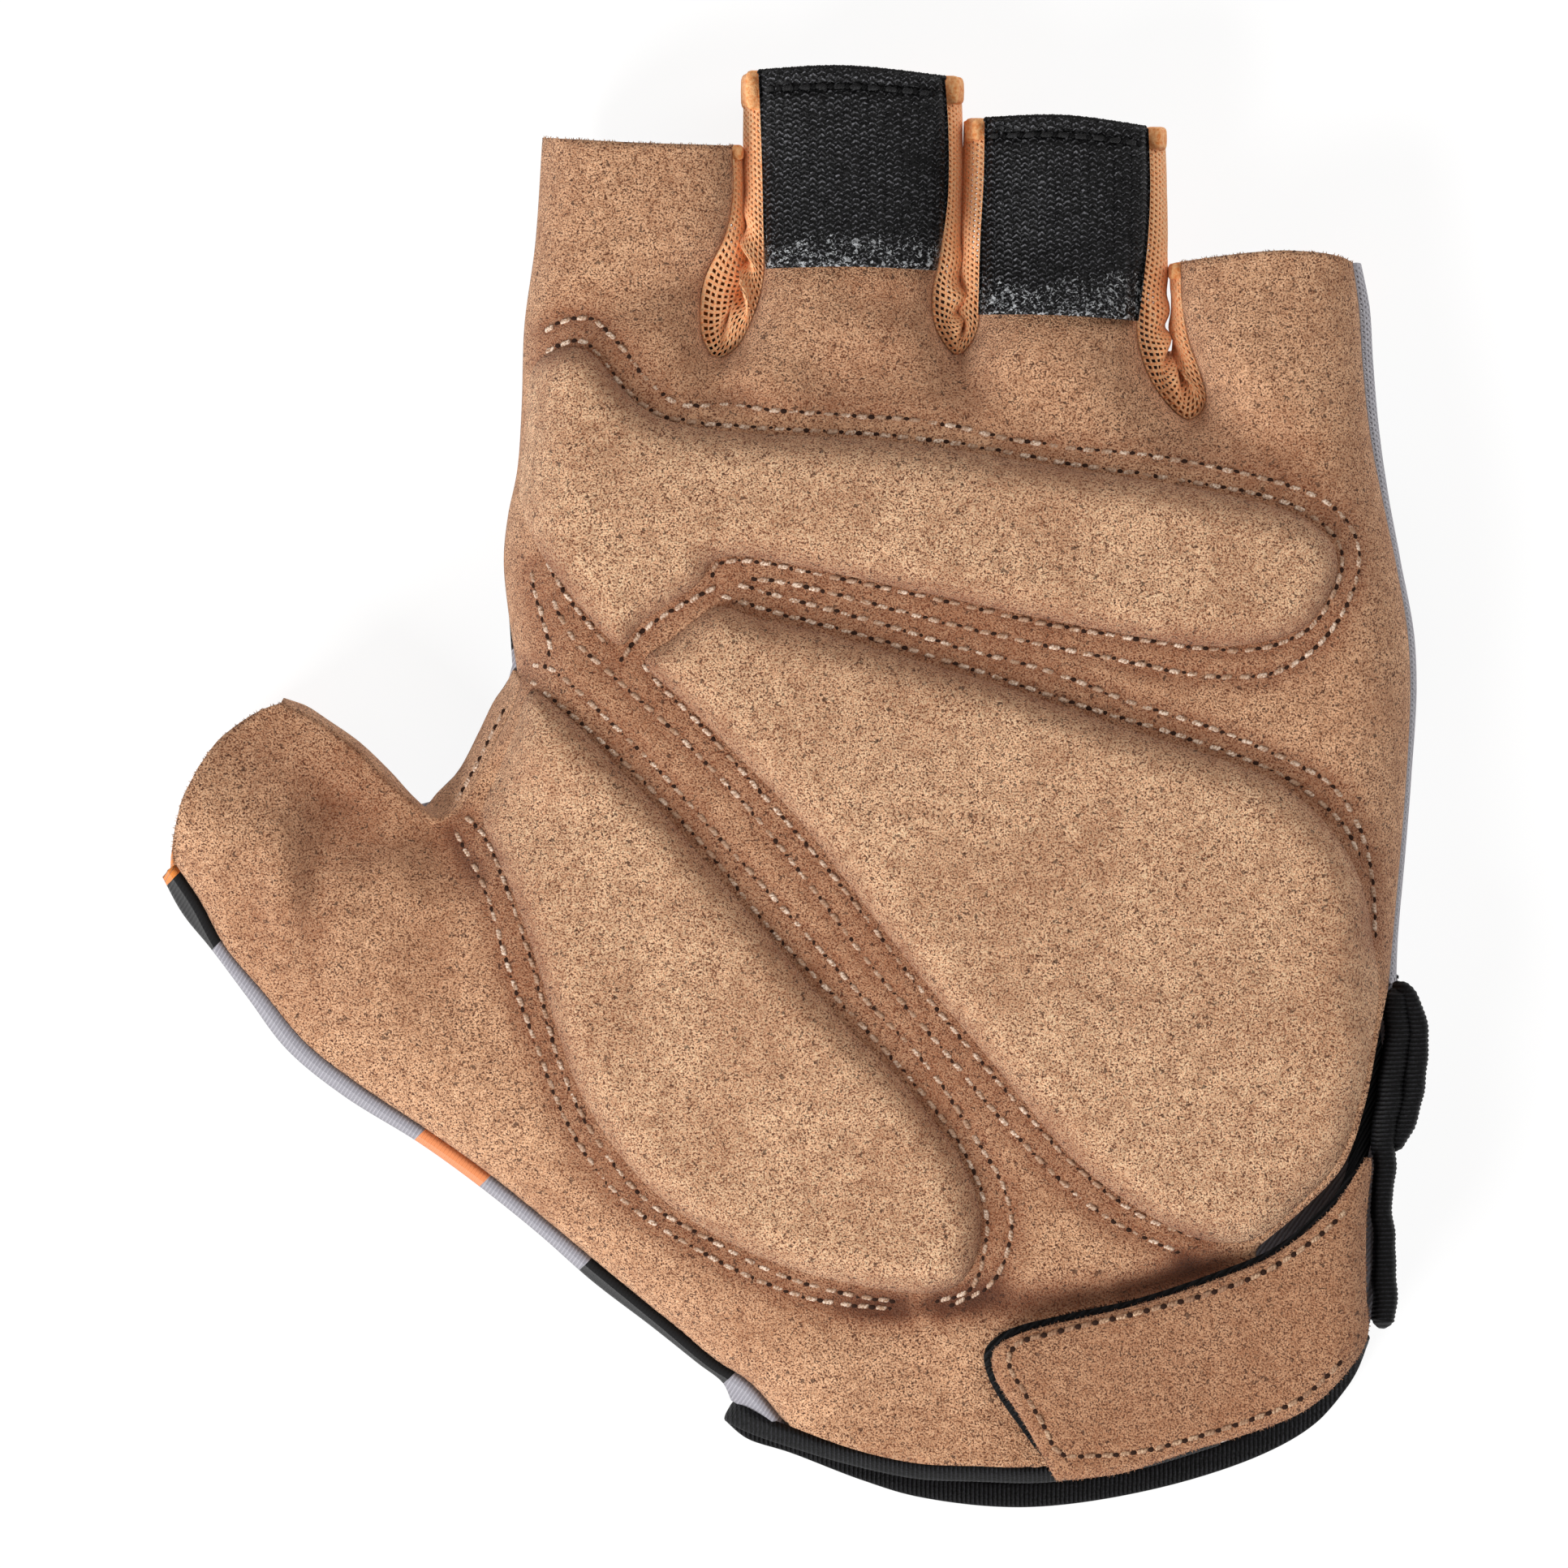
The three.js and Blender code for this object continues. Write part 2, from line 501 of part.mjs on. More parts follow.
// A band of cloth standing between the palm edge and the back edge.
function sideBand(rows, palm, back, thickness, gaps, bands, spacing) {
  const smoothRows = [];
  const along = (points) => new THREE.CatmullRomCurve3(
    points.map(([x, y]) => new THREE.Vector3(x, y, 0)), false, "centripetal");
  const pathPalm = along(palmOf(rows));
  const pathBack = along(backOf(rows));
  const count = Math.round(pathPalm.getLength() / spacing);
  for (let i = 0; i <= count; i += 1) {
    const u = i / count;
    const p = pathPalm.getPoint(u);
    const q = pathBack.getPoint(u);
    const ahead = pathPalm.getTangent(u);
    const behind = pathBack.getTangent(u);
    const way = new THREE.Vector2(ahead.x + behind.x, ahead.y + behind.y).normalize();
    const row = Math.min(rows.length - 2, Math.floor(u * (rows.length - 1)));
    const share = u * (rows.length - 1) - row;
    const bulge = rows[row].bulge + (rows[row + 1].bulge - rows[row].bulge) * share;
    smoothRows.push({ p, q, bulge, out: [-way.y, way.x] });
  }
  const positions = [];
  const index = [];
  const across = bands + 1;
  for (const { p, q, bulge, out } of smoothRows) {
    const top = palm.rim(p.x, p.y) - gaps.top;
    const low = back.rim(q.x, q.y) + gaps.low;
    for (const inward of [0, thickness]) {
      for (let j = 0; j <= bands; j += 1) {
        const s = j / bands;
        const stand = bulge * Math.sin(Math.PI * s) ** 0.7 - inward;
        positions.push(p.x + (q.x - p.x) * s + out[0] * stand,
          p.y + (q.y - p.y) * s + out[1] * stand, top + (low - top) * s);
      }
    }
  }
  const at = (i, j, layer) => i * 2 * across + layer * across + j;
  const quad = (a, b, c, d) => index.push(a, b, c, a, c, d);
  for (let i = 0; i < count; i += 1) {
    for (let j = 0; j < bands; j += 1) {
      quad(at(i, j, 0), at(i, j + 1, 0), at(i + 1, j + 1, 0), at(i + 1, j, 0));
      quad(at(i, j, 1), at(i + 1, j, 1), at(i + 1, j + 1, 1), at(i, j + 1, 1));
    }
    quad(at(i, 0, 0), at(i + 1, 0, 0), at(i + 1, 0, 1), at(i, 0, 1));
    quad(at(i, bands, 0), at(i, bands, 1), at(i + 1, bands, 1), at(i + 1, bands, 0));
  }
  for (let j = 0; j < bands; j += 1) {
    quad(at(0, j, 0), at(0, j, 1), at(0, j + 1, 1), at(0, j + 1, 0));
    quad(at(count, j, 0), at(count, j + 1, 0), at(count, j + 1, 1), at(count, j, 1));
  }
  return { positions, index };
}

// An edging band: rounded sections along a line of stations.
function edging(stations, corners) {
  const positions = [];
  const index = [];
  for (const { centre, wide, thick } of stations) {
    for (let k = 0; k < corners; k += 1) {
      const a = (2 * Math.PI * (k + 0.5)) / corners;
      const round = (v) => Math.sign(v) * Math.abs(v) ** 0.6;
      const p = centre.clone().addScaledVector(wide, round(Math.cos(a)))
        .addScaledVector(thick, round(Math.sin(a)));
      positions.push(p.x, p.y, p.z);
    }
  }
  const rings = stations.length;
  for (let i = 0; i + 1 < rings; i += 1) {
    for (let k = 0; k < corners; k += 1) {
      const a = i * corners + k;
      const b = i * corners + ((k + 1) % corners);
      index.push(a, b, b + corners, a, b + corners, a + corners);
    }
  }
  for (let k = 1; k + 1 < corners; k += 1) {
    index.push(0, k + 1, k);
    const last = (rings - 1) * corners;
    index.push(last, last + k, last + k + 1);
  }
  return { positions, index };
}

function splineRows(rows, spacing) {
  const names = Object.keys(rows[0]);
  const path = new THREE.CatmullRomCurve3(rows.map((r) => new THREE.Vector3(r.x, r.y, r.z)),
    false, "centripetal");
  const count = Math.round(path.getLength() / spacing);
  const result = [];
  for (let i = 0; i <= count; i += 1) {
    const u = i / count;
    const place = u * (rows.length - 1);
    const k = Math.min(rows.length - 2, Math.floor(place));
    const t = place - k;
    const row = Object.fromEntries(names.map((n) => [n, rows[k][n] + (rows[k + 1][n] - rows[k][n]) * t]));
    row.centre = path.getPoint(u);
    row.way = path.getTangent(u);
    result.push(row);
  }
  return result;
}

const wasm = await Module();
wasm.setup();

function toManifold({ positions, index }) {
  const volume = signedVolume(positions, index);
  const order = volume > 0 ? index : flip(index);
  return new wasm.Manifold(new wasm.Mesh({
    numProp: 3,
    vertProperties: new Float32Array(positions),
    triVerts: new Uint32Array(order),
  }));
}

function flip(index) {
  const turnedOver = [];
  for (let i = 0; i < index.length; i += 3) turnedOver.push(index[i], index[i + 2], index[i + 1]);
  return turnedOver;
}

function signedVolume(positions, index) {
  let sum = 0;
  const at = (i) => new THREE.Vector3(positions[3 * i], positions[3 * i + 1], positions[3 * i + 2]);
  for (let i = 0; i < index.length; i += 3) {
    sum += at(index[i]).dot(at(index[i + 1]).cross(at(index[i + 2])));
  }
  return sum;
}

const glove = new THREE.Group();
glove.name = "cycling_glove";

const looks = {
  suede: { color: 0xc39a78, roughness: 0.95, metalness: 0 },
  greyFabric: { color: 0xb8b5bc, roughness: 0.9, metalness: 0 },
  orangeNet: { color: 0xf5a563, roughness: 0.85, metalness: 0 },
  greyNet: { color: 0xa9a7ad, roughness: 0.85, metalness: 0 },
  blackWeave: { color: 0x1c1c1e, roughness: 0.8, metalness: 0 },
};

function addBody(name, solid, look) {
  const mesh = solid.getMesh();
  const geometry = new THREE.BufferGeometry();
  const count = mesh.vertProperties.length / mesh.numProp;
  const spots = new Float32Array(count * 3);
  for (let i = 0; i < count; i += 1) {
    for (let k = 0; k < 3; k += 1) spots[3 * i + k] = mesh.vertProperties[i * mesh.numProp + k];
  }
  geometry.setAttribute("position", new THREE.BufferAttribute(spots, 3));
  geometry.setIndex(new THREE.BufferAttribute(new Uint32Array(mesh.triVerts), 1));
  const joined = mergeVertices(geometry, 1e-5);
  joined.computeVertexNormals();
  const body = new THREE.Mesh(joined, new THREE.MeshStandardMaterial(looks[look]));
  body.name = name;
  glove.add(body);
}

// Main sheets.
const palm = makeSide(palmRuns, seamHeight.palm, palmCrown);
const back = makeSide(backRuns, seamHeight.back, backFloor);
const palmSheet = drape(palm, suedeThickness, 1, palmCell);
const backSheet = drape(back, backThickness, -1, backCell);

// Everything laid on the suede is cut clear of it by one seam gap.
const clearUp = palmSheet.outer.map(([x, y, z]) => [x, y, z + seamGap]);
const clearDown = palmSheet.outer.map(([x, y, z]) => [x, y, z - 7]);
const palmRoom = toManifold(closeSkins(clearUp, clearDown, palmSheet.faces));

const palmBody = toManifold(palmSheet.body);
addBody("palm_panel", palmBody, "suede");

const wrapGaps = { top: seamGap, low: -0.7 };
const wrap = toManifold(sideBand(thumbWrap, palm, back, backThickness, wrapGaps, 2, 6.0));
const backBody = toManifold(backSheet.body).add(wrap);
addBody("back_panel", backBody, "greyFabric");
const sheets = [palmBody, backBody];

// Cuts one body clear of its neighbours by the seam gap and drops the crumbs.
function clearOf(solid, neighbours, gap = seamGap) {
  let cut = solid;
  for (const neighbour of neighbours) {
    for (const rise of [-gap, 0, gap]) cut = cut.subtract(neighbour.translate([0, 0, rise]));
  }
  const bodies = cut.decompose().sort((a, b) => b.volume() - a.volume());
  return bodies[0];
}

// Padded suede panels.
function pillow(outline, height) {
  const upper = (x, y, d) => {
    const full = 1 - (1 - Math.min(1, d / padShoulder)) ** 2.2;
    return palm.height(x, y) + padEdge + (height - padEdge) * full;
  };
  const lower = (x, y) => palm.height(x, y) - 1.2;
  return toManifold(panel(outline, padCell, upper, lower)).subtract(palmRoom);
}
addBody("knuckle_pad", pillow(knuckleOutline, padHeight), "suede");
addBody("ulnar_pad", pillow(ulnarOutline, padHeight + 0.4), "suede");
addBody("thenar_pad", pillow(thenarOutline, padHeight), "suede");

// Side bands.
const bandGaps = { top: seamGap, low: seamGap };
const strips = table("name rows thickness bands spacing look", [
  ["thumb_crotch_strip", thumbCrotch, suedeThickness, 3, 3.0, "suede"],
  ["fourchette_index_middle", webIndexMiddle, netThickness, 4, 2.8, "orangeNet"],
  ["fourchette_middle_ring", webMiddleRing, netThickness, 4, 2.8, "orangeNet"],
  ["fourchette_ring_little", webRingLittle, netThickness, 4, 2.8, "orangeNet"],
  ["ulnar_side_mesh", ulnarSide, netThickness, 3, 5.0, "greyNet"],
]);
for (const { name, rows, thickness, bands, spacing, look } of strips) {
  const band = toManifold(sideBand(rows, palm, back, thickness, bandGaps, bands, spacing));
  const touching = band.intersect(palmBody).volume() + band.intersect(backBody).volume() > 0;
  addBody(name, touching ? clearOf(band, sheets) : band, look);
}

// Pull tabs, sewn at the finger opening and free at the lower edge.
function pullTab(outline, freeY) {
  const lift = (y) => tabLift * (1 - smooth(freeY, freeY + 12, y)) ** 2;
  const upper = (x, y) => palm.height(x, y) + seamGap + tabThickness + lift(y);
  const lower = (x, y) => palm.height(x, y) + lift(y) - 0.4;
  return toManifold(panel(outline, 4.0, upper, lower)).subtract(palmRoom);
}
addBody("pull_tab_middle", pullTab(tabMiddleOutline, 57.6), "blackWeave");
addBody("pull_tab_ring", pullTab(tabRingOutline, 52.3), "blackWeave");

// Wrist strap, its hook layer and the slit.
const strapTurn = (x) => 0.11 * Math.max(0, x - 59) ** 2;
const hookTop = (x, y) => palmCrown(x, y) + seamGap + hookThickness - strapTurn(x);
const hook = toManifold(panel(hookOutline, 5.0, hookTop,
  (x, y) => hookTop(x, y) - hookThickness)).subtract(palmRoom);
addBody("strap_hook_backing", hook, "blackWeave");
const strap = toManifold(panel(strapOutline, 5.0,
  (x, y) => hookTop(x, y) + seamGap + strapThickness, (x, y) => hookTop(x, y) + 0.1));
addBody("wrist_strap", clearOf(strap, [hook]), "suede");
const gussetTop = (x, y) => palmCrown(x, y) - suedeThickness - 0.8 - 0.3 * Math.max(0, x - 60);
addBody("slit_gusset",
  toManifold(panel(gussetOutline, 4.0, gussetTop, (x, y) => gussetTop(x, y) - 1.0)), "blackWeave");

const slitStations = splineRows(slitRows, 3.0).map((row) => {
  const side = new THREE.Vector3(row.way.y, -row.way.x, 0).normalize();
  return {
    centre: row.centre,
    wide: new THREE.Vector3(0, 0, row.tall / 2),
    thick: side.multiplyScalar(row.wide / 2),
  };
});
addBody("slit_binding", toManifold(edging(slitStations, 8)), "blackWeave");

const cuffStations = splineRows(cuffRows, 4.0).map((row) => {
  const out = THREE.MathUtils.degToRad(row.out);
  const dip = THREE.MathUtils.degToRad(row.dip);
  const wide = new THREE.Vector3(Math.cos(out) * Math.cos(dip), Math.sin(out) * Math.cos(dip),
    -Math.sin(dip));
  const thick = new THREE.Vector3().crossVectors(row.way, wide).normalize();
  return {
    centre: row.centre,
    wide: wide.multiplyScalar(cuffWidth / 2),
    thick: thick.multiplyScalar(cuffThickness / 2),
  };
});
addBody("cuff_binding", clearOf(toManifold(edging(cuffStations, 8)), sheets), "blackWeave");

export default glove;
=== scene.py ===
import bpy
import bmesh
import math
import random
import time
import numpy as np
from mathutils import Vector, Matrix


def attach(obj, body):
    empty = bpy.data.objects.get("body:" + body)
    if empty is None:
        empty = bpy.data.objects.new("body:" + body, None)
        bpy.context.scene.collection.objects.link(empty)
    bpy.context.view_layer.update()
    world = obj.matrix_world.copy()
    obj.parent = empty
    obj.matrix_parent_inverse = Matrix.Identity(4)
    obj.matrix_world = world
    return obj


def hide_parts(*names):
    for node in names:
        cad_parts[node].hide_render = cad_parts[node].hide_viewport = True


startTime = time.time()
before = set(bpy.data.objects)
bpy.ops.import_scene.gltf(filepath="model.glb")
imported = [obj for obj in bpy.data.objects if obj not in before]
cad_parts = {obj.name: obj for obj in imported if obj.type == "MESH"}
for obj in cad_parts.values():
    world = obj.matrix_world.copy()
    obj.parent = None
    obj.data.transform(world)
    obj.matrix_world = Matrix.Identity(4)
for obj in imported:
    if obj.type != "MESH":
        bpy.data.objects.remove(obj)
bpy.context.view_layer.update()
mm = 0.001
rollWidth = 8.0  # how far in from a seam the cloth rolls over, mm
curveSteps = 16  # points of a smooth curve for each listed one

# Camera straight above the palm, with a long lens
cameraSettings = {"lens": 1000.0, "sensor": 36.0, "centre": (-0.00135, 0.00054), "sharpAt": 0.018,
                  "frameWidth": 0.1739, "reach": 20.0}
camData = bpy.data.cameras.new("camera")
camData.lens = cameraSettings["lens"]
camData.sensor_width = cameraSettings["sensor"]
camData.clip_end = cameraSettings["reach"]
camera = bpy.data.objects.new("camera", camData)
camera.location = (*cameraSettings["centre"], cameraSettings["sharpAt"]
                   + cameraSettings["frameWidth"] * camData.lens / camData.sensor_width)
bpy.context.collection.objects.link(camera)
bpy.context.scene.camera = camera
bpy.context.scene.view_settings.view_transform = "Standard"

# Shape tables, the same read-off sizes in millimetres as the model
crown = [
    # y, middle, height, fall
    (82, 14, 17.0, 0.6), (62, 14, 17.6, 0.7), (48, 15, 19.6, 1.2), (30, 16, 22.2, 2.1),
    (6, 16, 23.7, 3.0), (-24, 16, 23.7, 3.3), (-50, 20, 21.6, 2.9), (-80, 24, 18.1, 2.6)]
palmHalfWidth = 45
thumb = {"base": (-37, -19), "tip": (-63.6, 0.4), "height": 19.6, "fall": 2.4, "lift": 3.0, "half": 11.5,
         "lean": 0.78}
palmSeams = {"side": 9.65, "web": 13.2, "outer": 12.2, "thumb": 14.6, "wrap": 13.4}
backSeams = {"side": 9.35, "web": 4.2, "outer": 6.4, "thumb": 6.6, "wrap": 8.4, "wrist": 10.8}

# Bands between palm and back: palm x, palm y, back x, back y, how far the band stands out
webIndexMiddle = [
    (-7.1, 71.4, -7.6, 70.6, 1.2), (-7.0, 65.9, -7.6, 66.0, 1.2), (-7.9, 61.4, -7.6, 62.0, 1.2),
    (-10.2, 56.4, -7.7, 59.5, 0.9), (-10.7, 52.6, -7.5, 58.0, 0.5), (-10.3, 49.7, -7.0, 57.0, 0.2),
    (-9.0, 47.8, -5.9, 56.3, 0.1), (-6.8, 48.8, -4.9, 56.9, 0.2), (-5.0, 51.9, -4.2, 58.2, 0.4),
    (-3.7, 56.0, -3.8, 60.5, 0.9), (-3.5, 60.5, -3.6, 63.5, 1.3), (-3.7, 69.5, -3.6, 70.0, 1.4),
    (-3.9, 79.7, -3.8, 78.8, 1.4)]
webMiddleRing = [
    (16.3, 79.0, 16.2, 78.2, 1.6), (16.7, 73.1, 16.5, 72.0, 1.5), (16.6, 65.0, 16.5, 63.5, 1.2),
    (15.9, 58.7, 16.4, 57.0, 0.9), (15.1, 55.1, 16.6, 54.4, 0.6), (15.5, 51.0, 17.2, 52.6, 0.3),
    (17.9, 48.1, 18.4, 51.8, 0.2), (20.0, 50.6, 19.6, 52.6, 0.3), (20.4, 54.2, 20.2, 54.6, 0.6),
    (20.6, 60.5, 20.6, 60.0, 1.0), (21.0, 67.7, 21.0, 67.0, 1.3), (21.2, 74.4, 21.2, 73.6, 1.4)]
webRingLittle = [
    (38.9, 73.4, 38.7, 72.6, 1.7), (39.1, 66.8, 38.9, 66.0, 1.5), (38.8, 60.5, 38.8, 59.5, 1.3),
    (37.9, 54.2, 38.8, 54.0, 1.2), (38.0, 49.2, 39.2, 50.8, 0.6), (40.1, 44.1, 40.2, 48.9, 0.3),
    (43.6, 40.9, 41.4, 48.5, 0.2), (45.5, 42.8, 42.3, 49.3, 0.2), (44.9, 46.1, 42.8, 51.0, 0.3),
    (43.6, 49.7, 43.0, 53.0, 0.5), (42.8, 54.2, 42.9, 55.6, 0.8), (42.7, 58.5, 42.8, 57.8, 0.9)]
thumbCrotch = [
    (-57.2, 9.5, -57.0, 9.6, 0.6), (-54.8, 8.3, -54.6, 9.0, 0.6), (-52.3, 6.9, -52.2, 7.3, 0.6),
    (-48.7, 4.2, -48.9, 5.1, 0.6), (-44.9, 0.4, -45.4, 2.0, 0.5), (-42.0, -2.0, -42.8, -1.0, 0.4),
    (-39.7, -3.4, -41.4, -2.0, 0.3), (-37.4, -2.2, -39.9, -0.4, 0.3), (-35.2, 1.5, -37.7, 1.8, 0.4),
    (-32.7, 6.5, -35.2, 6.5, 0.4), (-31.2, 9.6, -33.6, 9.8, 0.3), (-30.6, 11.6, -32.2, 11.8, 0.2),
    (-31.0, 13.1, -31.5, 13.2, 0.1)]
ulnarSide = [
    (61.8, 58.4, 61.7, 57.8, 0.7), (62.5, 53.3, 62.6, 53.3, 0.8), (62.9, 47.0, 63.0, 47.0, 0.8),
    (63.8, 38.9, 63.9, 38.9, 0.7), (65.2, 31.7, 65.2, 31.7, 0.5), (66.7, 24.5, 66.7, 24.5, 0.4),
    (67.9, 17.3, 67.9, 17.3, 0.5), (68.2, 11.0, 68.2, 11.0, 0.5), (67.8, 2.0, 67.8, 2.0, 0.4),
    (67.1, -7.0, 67.1, -7.0, 0.4), (66.3, -16.0, 66.3, -16.0, 0.4), (65.8, -21.6, 66.3, -21.6, 0.4)]
thumbWrap = [
    (-68.9, -8.4, -69.5, -9.3, 0.4), (-66.2, -12.4, -67.4, -13.2, 0.4), (-63.5, -17.4, -64.2, -17.1, 0.5),
    (-59.0, -22.8, -60.1, -22.6, 0.5), (-54.5, -28.2, -55.9, -28.2, 0.5), (-48.7, -32.7, -49.8, -33.2, 0.5),
    (-40.6, -38.1, -41.4, -38.4, 0.5), (-34.3, -42.6, -35.0, -43.0, 0.5), (-27.1, -48.4, -28.0, -48.6, 0.5),
    (-21.7, -52.9, -22.0, -53.9, 0.5), (-14.5, -58.8, -15.3, -59.0, 0.5), (-9.1, -63.3, -10.4, -62.9, 0.5),
    (-5.0, -66.0, -7.4, -65.3, 0.4), (-1.0, -70.6, -6.4, -67.6, 0.3)]


def palmOf(rows):
    return [(r[0], r[1]) for r in rows]


def backOf(rows):
    return [(r[2], r[3]) for r in rows]


palmLeft = [
    (-31.0, 13.1), (-31.9, 19.1), (-32.5, 25.4), (-32.0, 30.5), (-31.0, 35.3), (-30.5, 42.5), (-30.2, 51.5),
    (-29.0, 60.5), (-28.2, 72.3)]
palmRuns = [
    ("open", [(-28.2, 72.3), (-17.6, 71.7), (-7.1, 71.4)]),
    ("web", palmOf(webIndexMiddle)),
    ("open", [(-3.9, 79.7), (5.3, 80.1), (16.3, 79.0)]),
    ("web", palmOf(webMiddleRing)),
    ("open", [(21.2, 74.4), (29.6, 74.6), (38.9, 73.4)]),
    ("web", palmOf(webRingLittle)),
    ("open", [(42.7, 58.5), (46.7, 59.1), (53.0, 59.7), (59.3, 59.7), (61.8, 58.4)]),
    ("outer", palmOf(ulnarSide)),
    ("open", [(65.8, -21.6), (64.5, -27.7), (63.1, -34.9), (60.7, -41.7), (56.2, -46.6), (50.8, -51.1)]),
    ("open", [(50.8, -51.1), (49.4, -60.0), (48.4, -70.4)]),
    ("open", [(48.4, -70.4), (37.7, -73.6), (27.8, -75.2), (19.7, -75.1), (13.4, -74.8), (6.2, -73.2),
              (-1.0, -70.6)]),
    ("wrap", palmOf(thumbWrap)[::-1]),
    ("open", [(-68.9, -8.4), (-69.4, -5.0), (-66.9, 1.3), (-63.7, 5.9), (-60.4, 8.5), (-57.2, 9.5)]),
    ("thumb", palmOf(thumbCrotch)),
    ("side", palmLeft)]
backRuns = [
    ("open", [(-28.2, 71.5), (-17.6, 70.9), (-7.6, 70.6)]),
    ("web", backOf(webIndexMiddle)),
    ("open", [(-3.8, 78.8), (5.3, 79.3), (16.2, 78.2)]),
    ("web", backOf(webMiddleRing)),
    ("open", [(21.2, 73.6), (29.6, 73.8), (38.7, 72.6)]),
    ("web", backOf(webRingLittle)),
    ("open", [(42.8, 57.8), (53.0, 58.9), (61.7, 57.8)]),
    ("outer", backOf(ulnarSide)),
    ("wrist", [(66.3, -21.6), (67.4, -28.0), (67.2, -34.0), (65.8, -41.0), (65.0, -48.0), (64.8, -55.0),
               (63.4, -60.4)]),
    ("open", [(63.4, -60.4), (60.2, -64.6), (57.0, -67.8), (50.5, -71.4), (39.0, -75.0), (25.6, -77.0),
              (14.3, -75.9), (8.0, -74.0), (1.7, -71.8), (-3.6, -70.0), (-6.4, -67.6)]),
    ("wrap", backOf(thumbWrap)[::-1]),
    ("open", [(-69.5, -9.3), (-69.6, -6.0), (-66.6, 1.0), (-63.4, 5.6), (-60.2, 8.4), (-57.0, 9.6)]),
    ("thumb", backOf(thumbCrotch)),
    ("side", [(-31.5, 13.2)] + palmLeft[1:-1] + [(-28.2, 71.5)])]

stitchRows = {
    "knuckleOuter": [(-28.2, 50.6), (-25.7, 51.9), (-22.8, 52.1), (-20.6, 50.3), (-18.5, 47.9), (-16.6, 45.4),
        (-13.1, 42.7), (-7.3, 42.5), (-1.9, 41.9), (6.2, 41.3), (11.6, 41.0), (17.9, 40.1), (22.9, 38.9),
        (32.8, 37.5), (37.7, 37.1), (45.4, 35.8), (54.8, 33.5), (59.1, 31.5), (61.7, 28.5), (62.3, 24.5),
        (60.0, 18.6), (56.6, 14.8), (52.8, 12.8), (47.6, 12.4), (43.1, 12.8), (37.7, 13.9), (26.5, 16.1),
        (16.1, 18.5), (4.9, 21.4), (-0.5, 22.7), (-5.5, 23.4)],
    "knuckleInner": [(-28.2, 48.2), (-25.7, 49.4), (-23.7, 49.6), (-21.5, 47.7), (-19.3, 44.7), (-15.4, 41.6),
        (-11.8, 40.7), (-2.8, 39.9), (5.3, 39.5), (16.1, 38.5), (30.5, 36.0), (39.5, 34.7), (46.7, 33.5),
        (52.1, 32.4), (56.6, 30.6), (60.0, 27.4), (60.4, 24.3), (57.7, 18.6), (54.4, 16.4), (49.4, 15.3),
        (44.0, 15.7), (37.7, 16.6), (26.9, 18.4), (16.1, 20.9), (6.2, 23.0), (1.3, 24.0), (-2.3, 24.8),
        (-5.9, 25.3), (-8.7, 24.9), (-9.4, 23.8), (-8.7, 22.5)],
    "knuckleLowerLeft": [(-27.8, 25.4), (-25.3, 21.3), (-21.7, 16.8), (-19.5, 14.9)],
    "padCorner": [(-8.7, 22.5), (-11.3, 21.1), (-14.5, 19.3), (-17.2, 17.3), (-19.0, 14.8), (-19.7, 13.9)],
    "ulnarOuterTop": [(-6.8, 22.7), (-1.0, 21.1), (8.0, 18.7), (17.9, 15.7), (28.7, 12.8), (37.3, 9.5),
        (46.7, 6.5), (55.7, 2.6), (59.3, 0.4), (62.4, -4.3), (63.8, -9.7), (64.2, -16.9)],
    "ulnarOuterLeft": [(-27.1, 21.3), (-24.8, 16.8), (-19.4, 11.7), (-12.2, 5.1), (-5.0, -2.5), (2.2, -11.5),
        (8.7, -20.1), (15.7, -28.2), (22.2, -36.0), (29.4, -43.5), (33.4, -46.8), (37.7, -49.3), (43.1, -51.6)],
    "ulnarInnerTop": [(-8.6, 21.5), (-2.8, 19.7), (6.2, 17.3), (13.4, 15.2), (20.6, 12.9), (31.9, 9.1),
        (43.1, 5.7), (53.5, 1.7), (57.5, -1.0), (60.7, -4.1), (62.7, -8.1)],
    "ulnarInnerLeft": [(-17.2, 14.1), (-15.8, 12.3), (-10.9, 7.4), (-3.2, -1.2), (4.9, -10.6), (13.0, -21.2),
        (19.5, -29.1), (26.0, -36.5), (30.3, -41.2), (38.0, -47.2), (44.9, -49.9)],
    "thenarInnerRight": [(-29.8, 12.3), (-24.4, 7.8), (-17.6, 1.5), (-10.4, -6.1), (-2.8, -15.6),
        (5.3, -24.1), (13.9, -33.6), (18.4, -39.9), (20.7, -45.3), (21.1, -49.5), (19.4, -55.3), (15.2, -56.9)],
    "thenarOuterRight": [(-29.8, 13.7), (-27.6, 13.5), (-20.8, 7.6), (-14.5, 1.3), (-7.9, -6.1),
        (-1.2, -13.5), (7.1, -22.8), (14.3, -30.4), (19.7, -38.5), (23.1, -44.4), (23.8, -49.3),
        (21.7, -54.7), (16.6, -57.5)],
    "thenarInnerLeft": [(-37.0, -2.8), (-34.6, -5.2), (-31.9, -11.5), (-29.2, -19.6), (-26.2, -30.4),
        (-22.6, -38.1), (-16.7, -45.5), (-8.2, -50.7), (-1.9, -53.8), (5.3, -55.9), (11.6, -56.9)],
    "thenarOuterLeft": [(-37.9, -4.5), (-34.5, -11.1), (-31.8, -20.1), (-28.7, -28.6), (-24.8, -38.1),
        (-19.0, -45.7), (-10.9, -51.1), (-4.6, -54.3), (1.7, -56.5), (7.1, -57.3), (11.6, -57.7)],
    "thumbEdge": [(-29.3, 24.5), (-28.9, 21.8), (-28.0, 18.6), (-27.3, 15.0), (-28.4, 13.9)]}
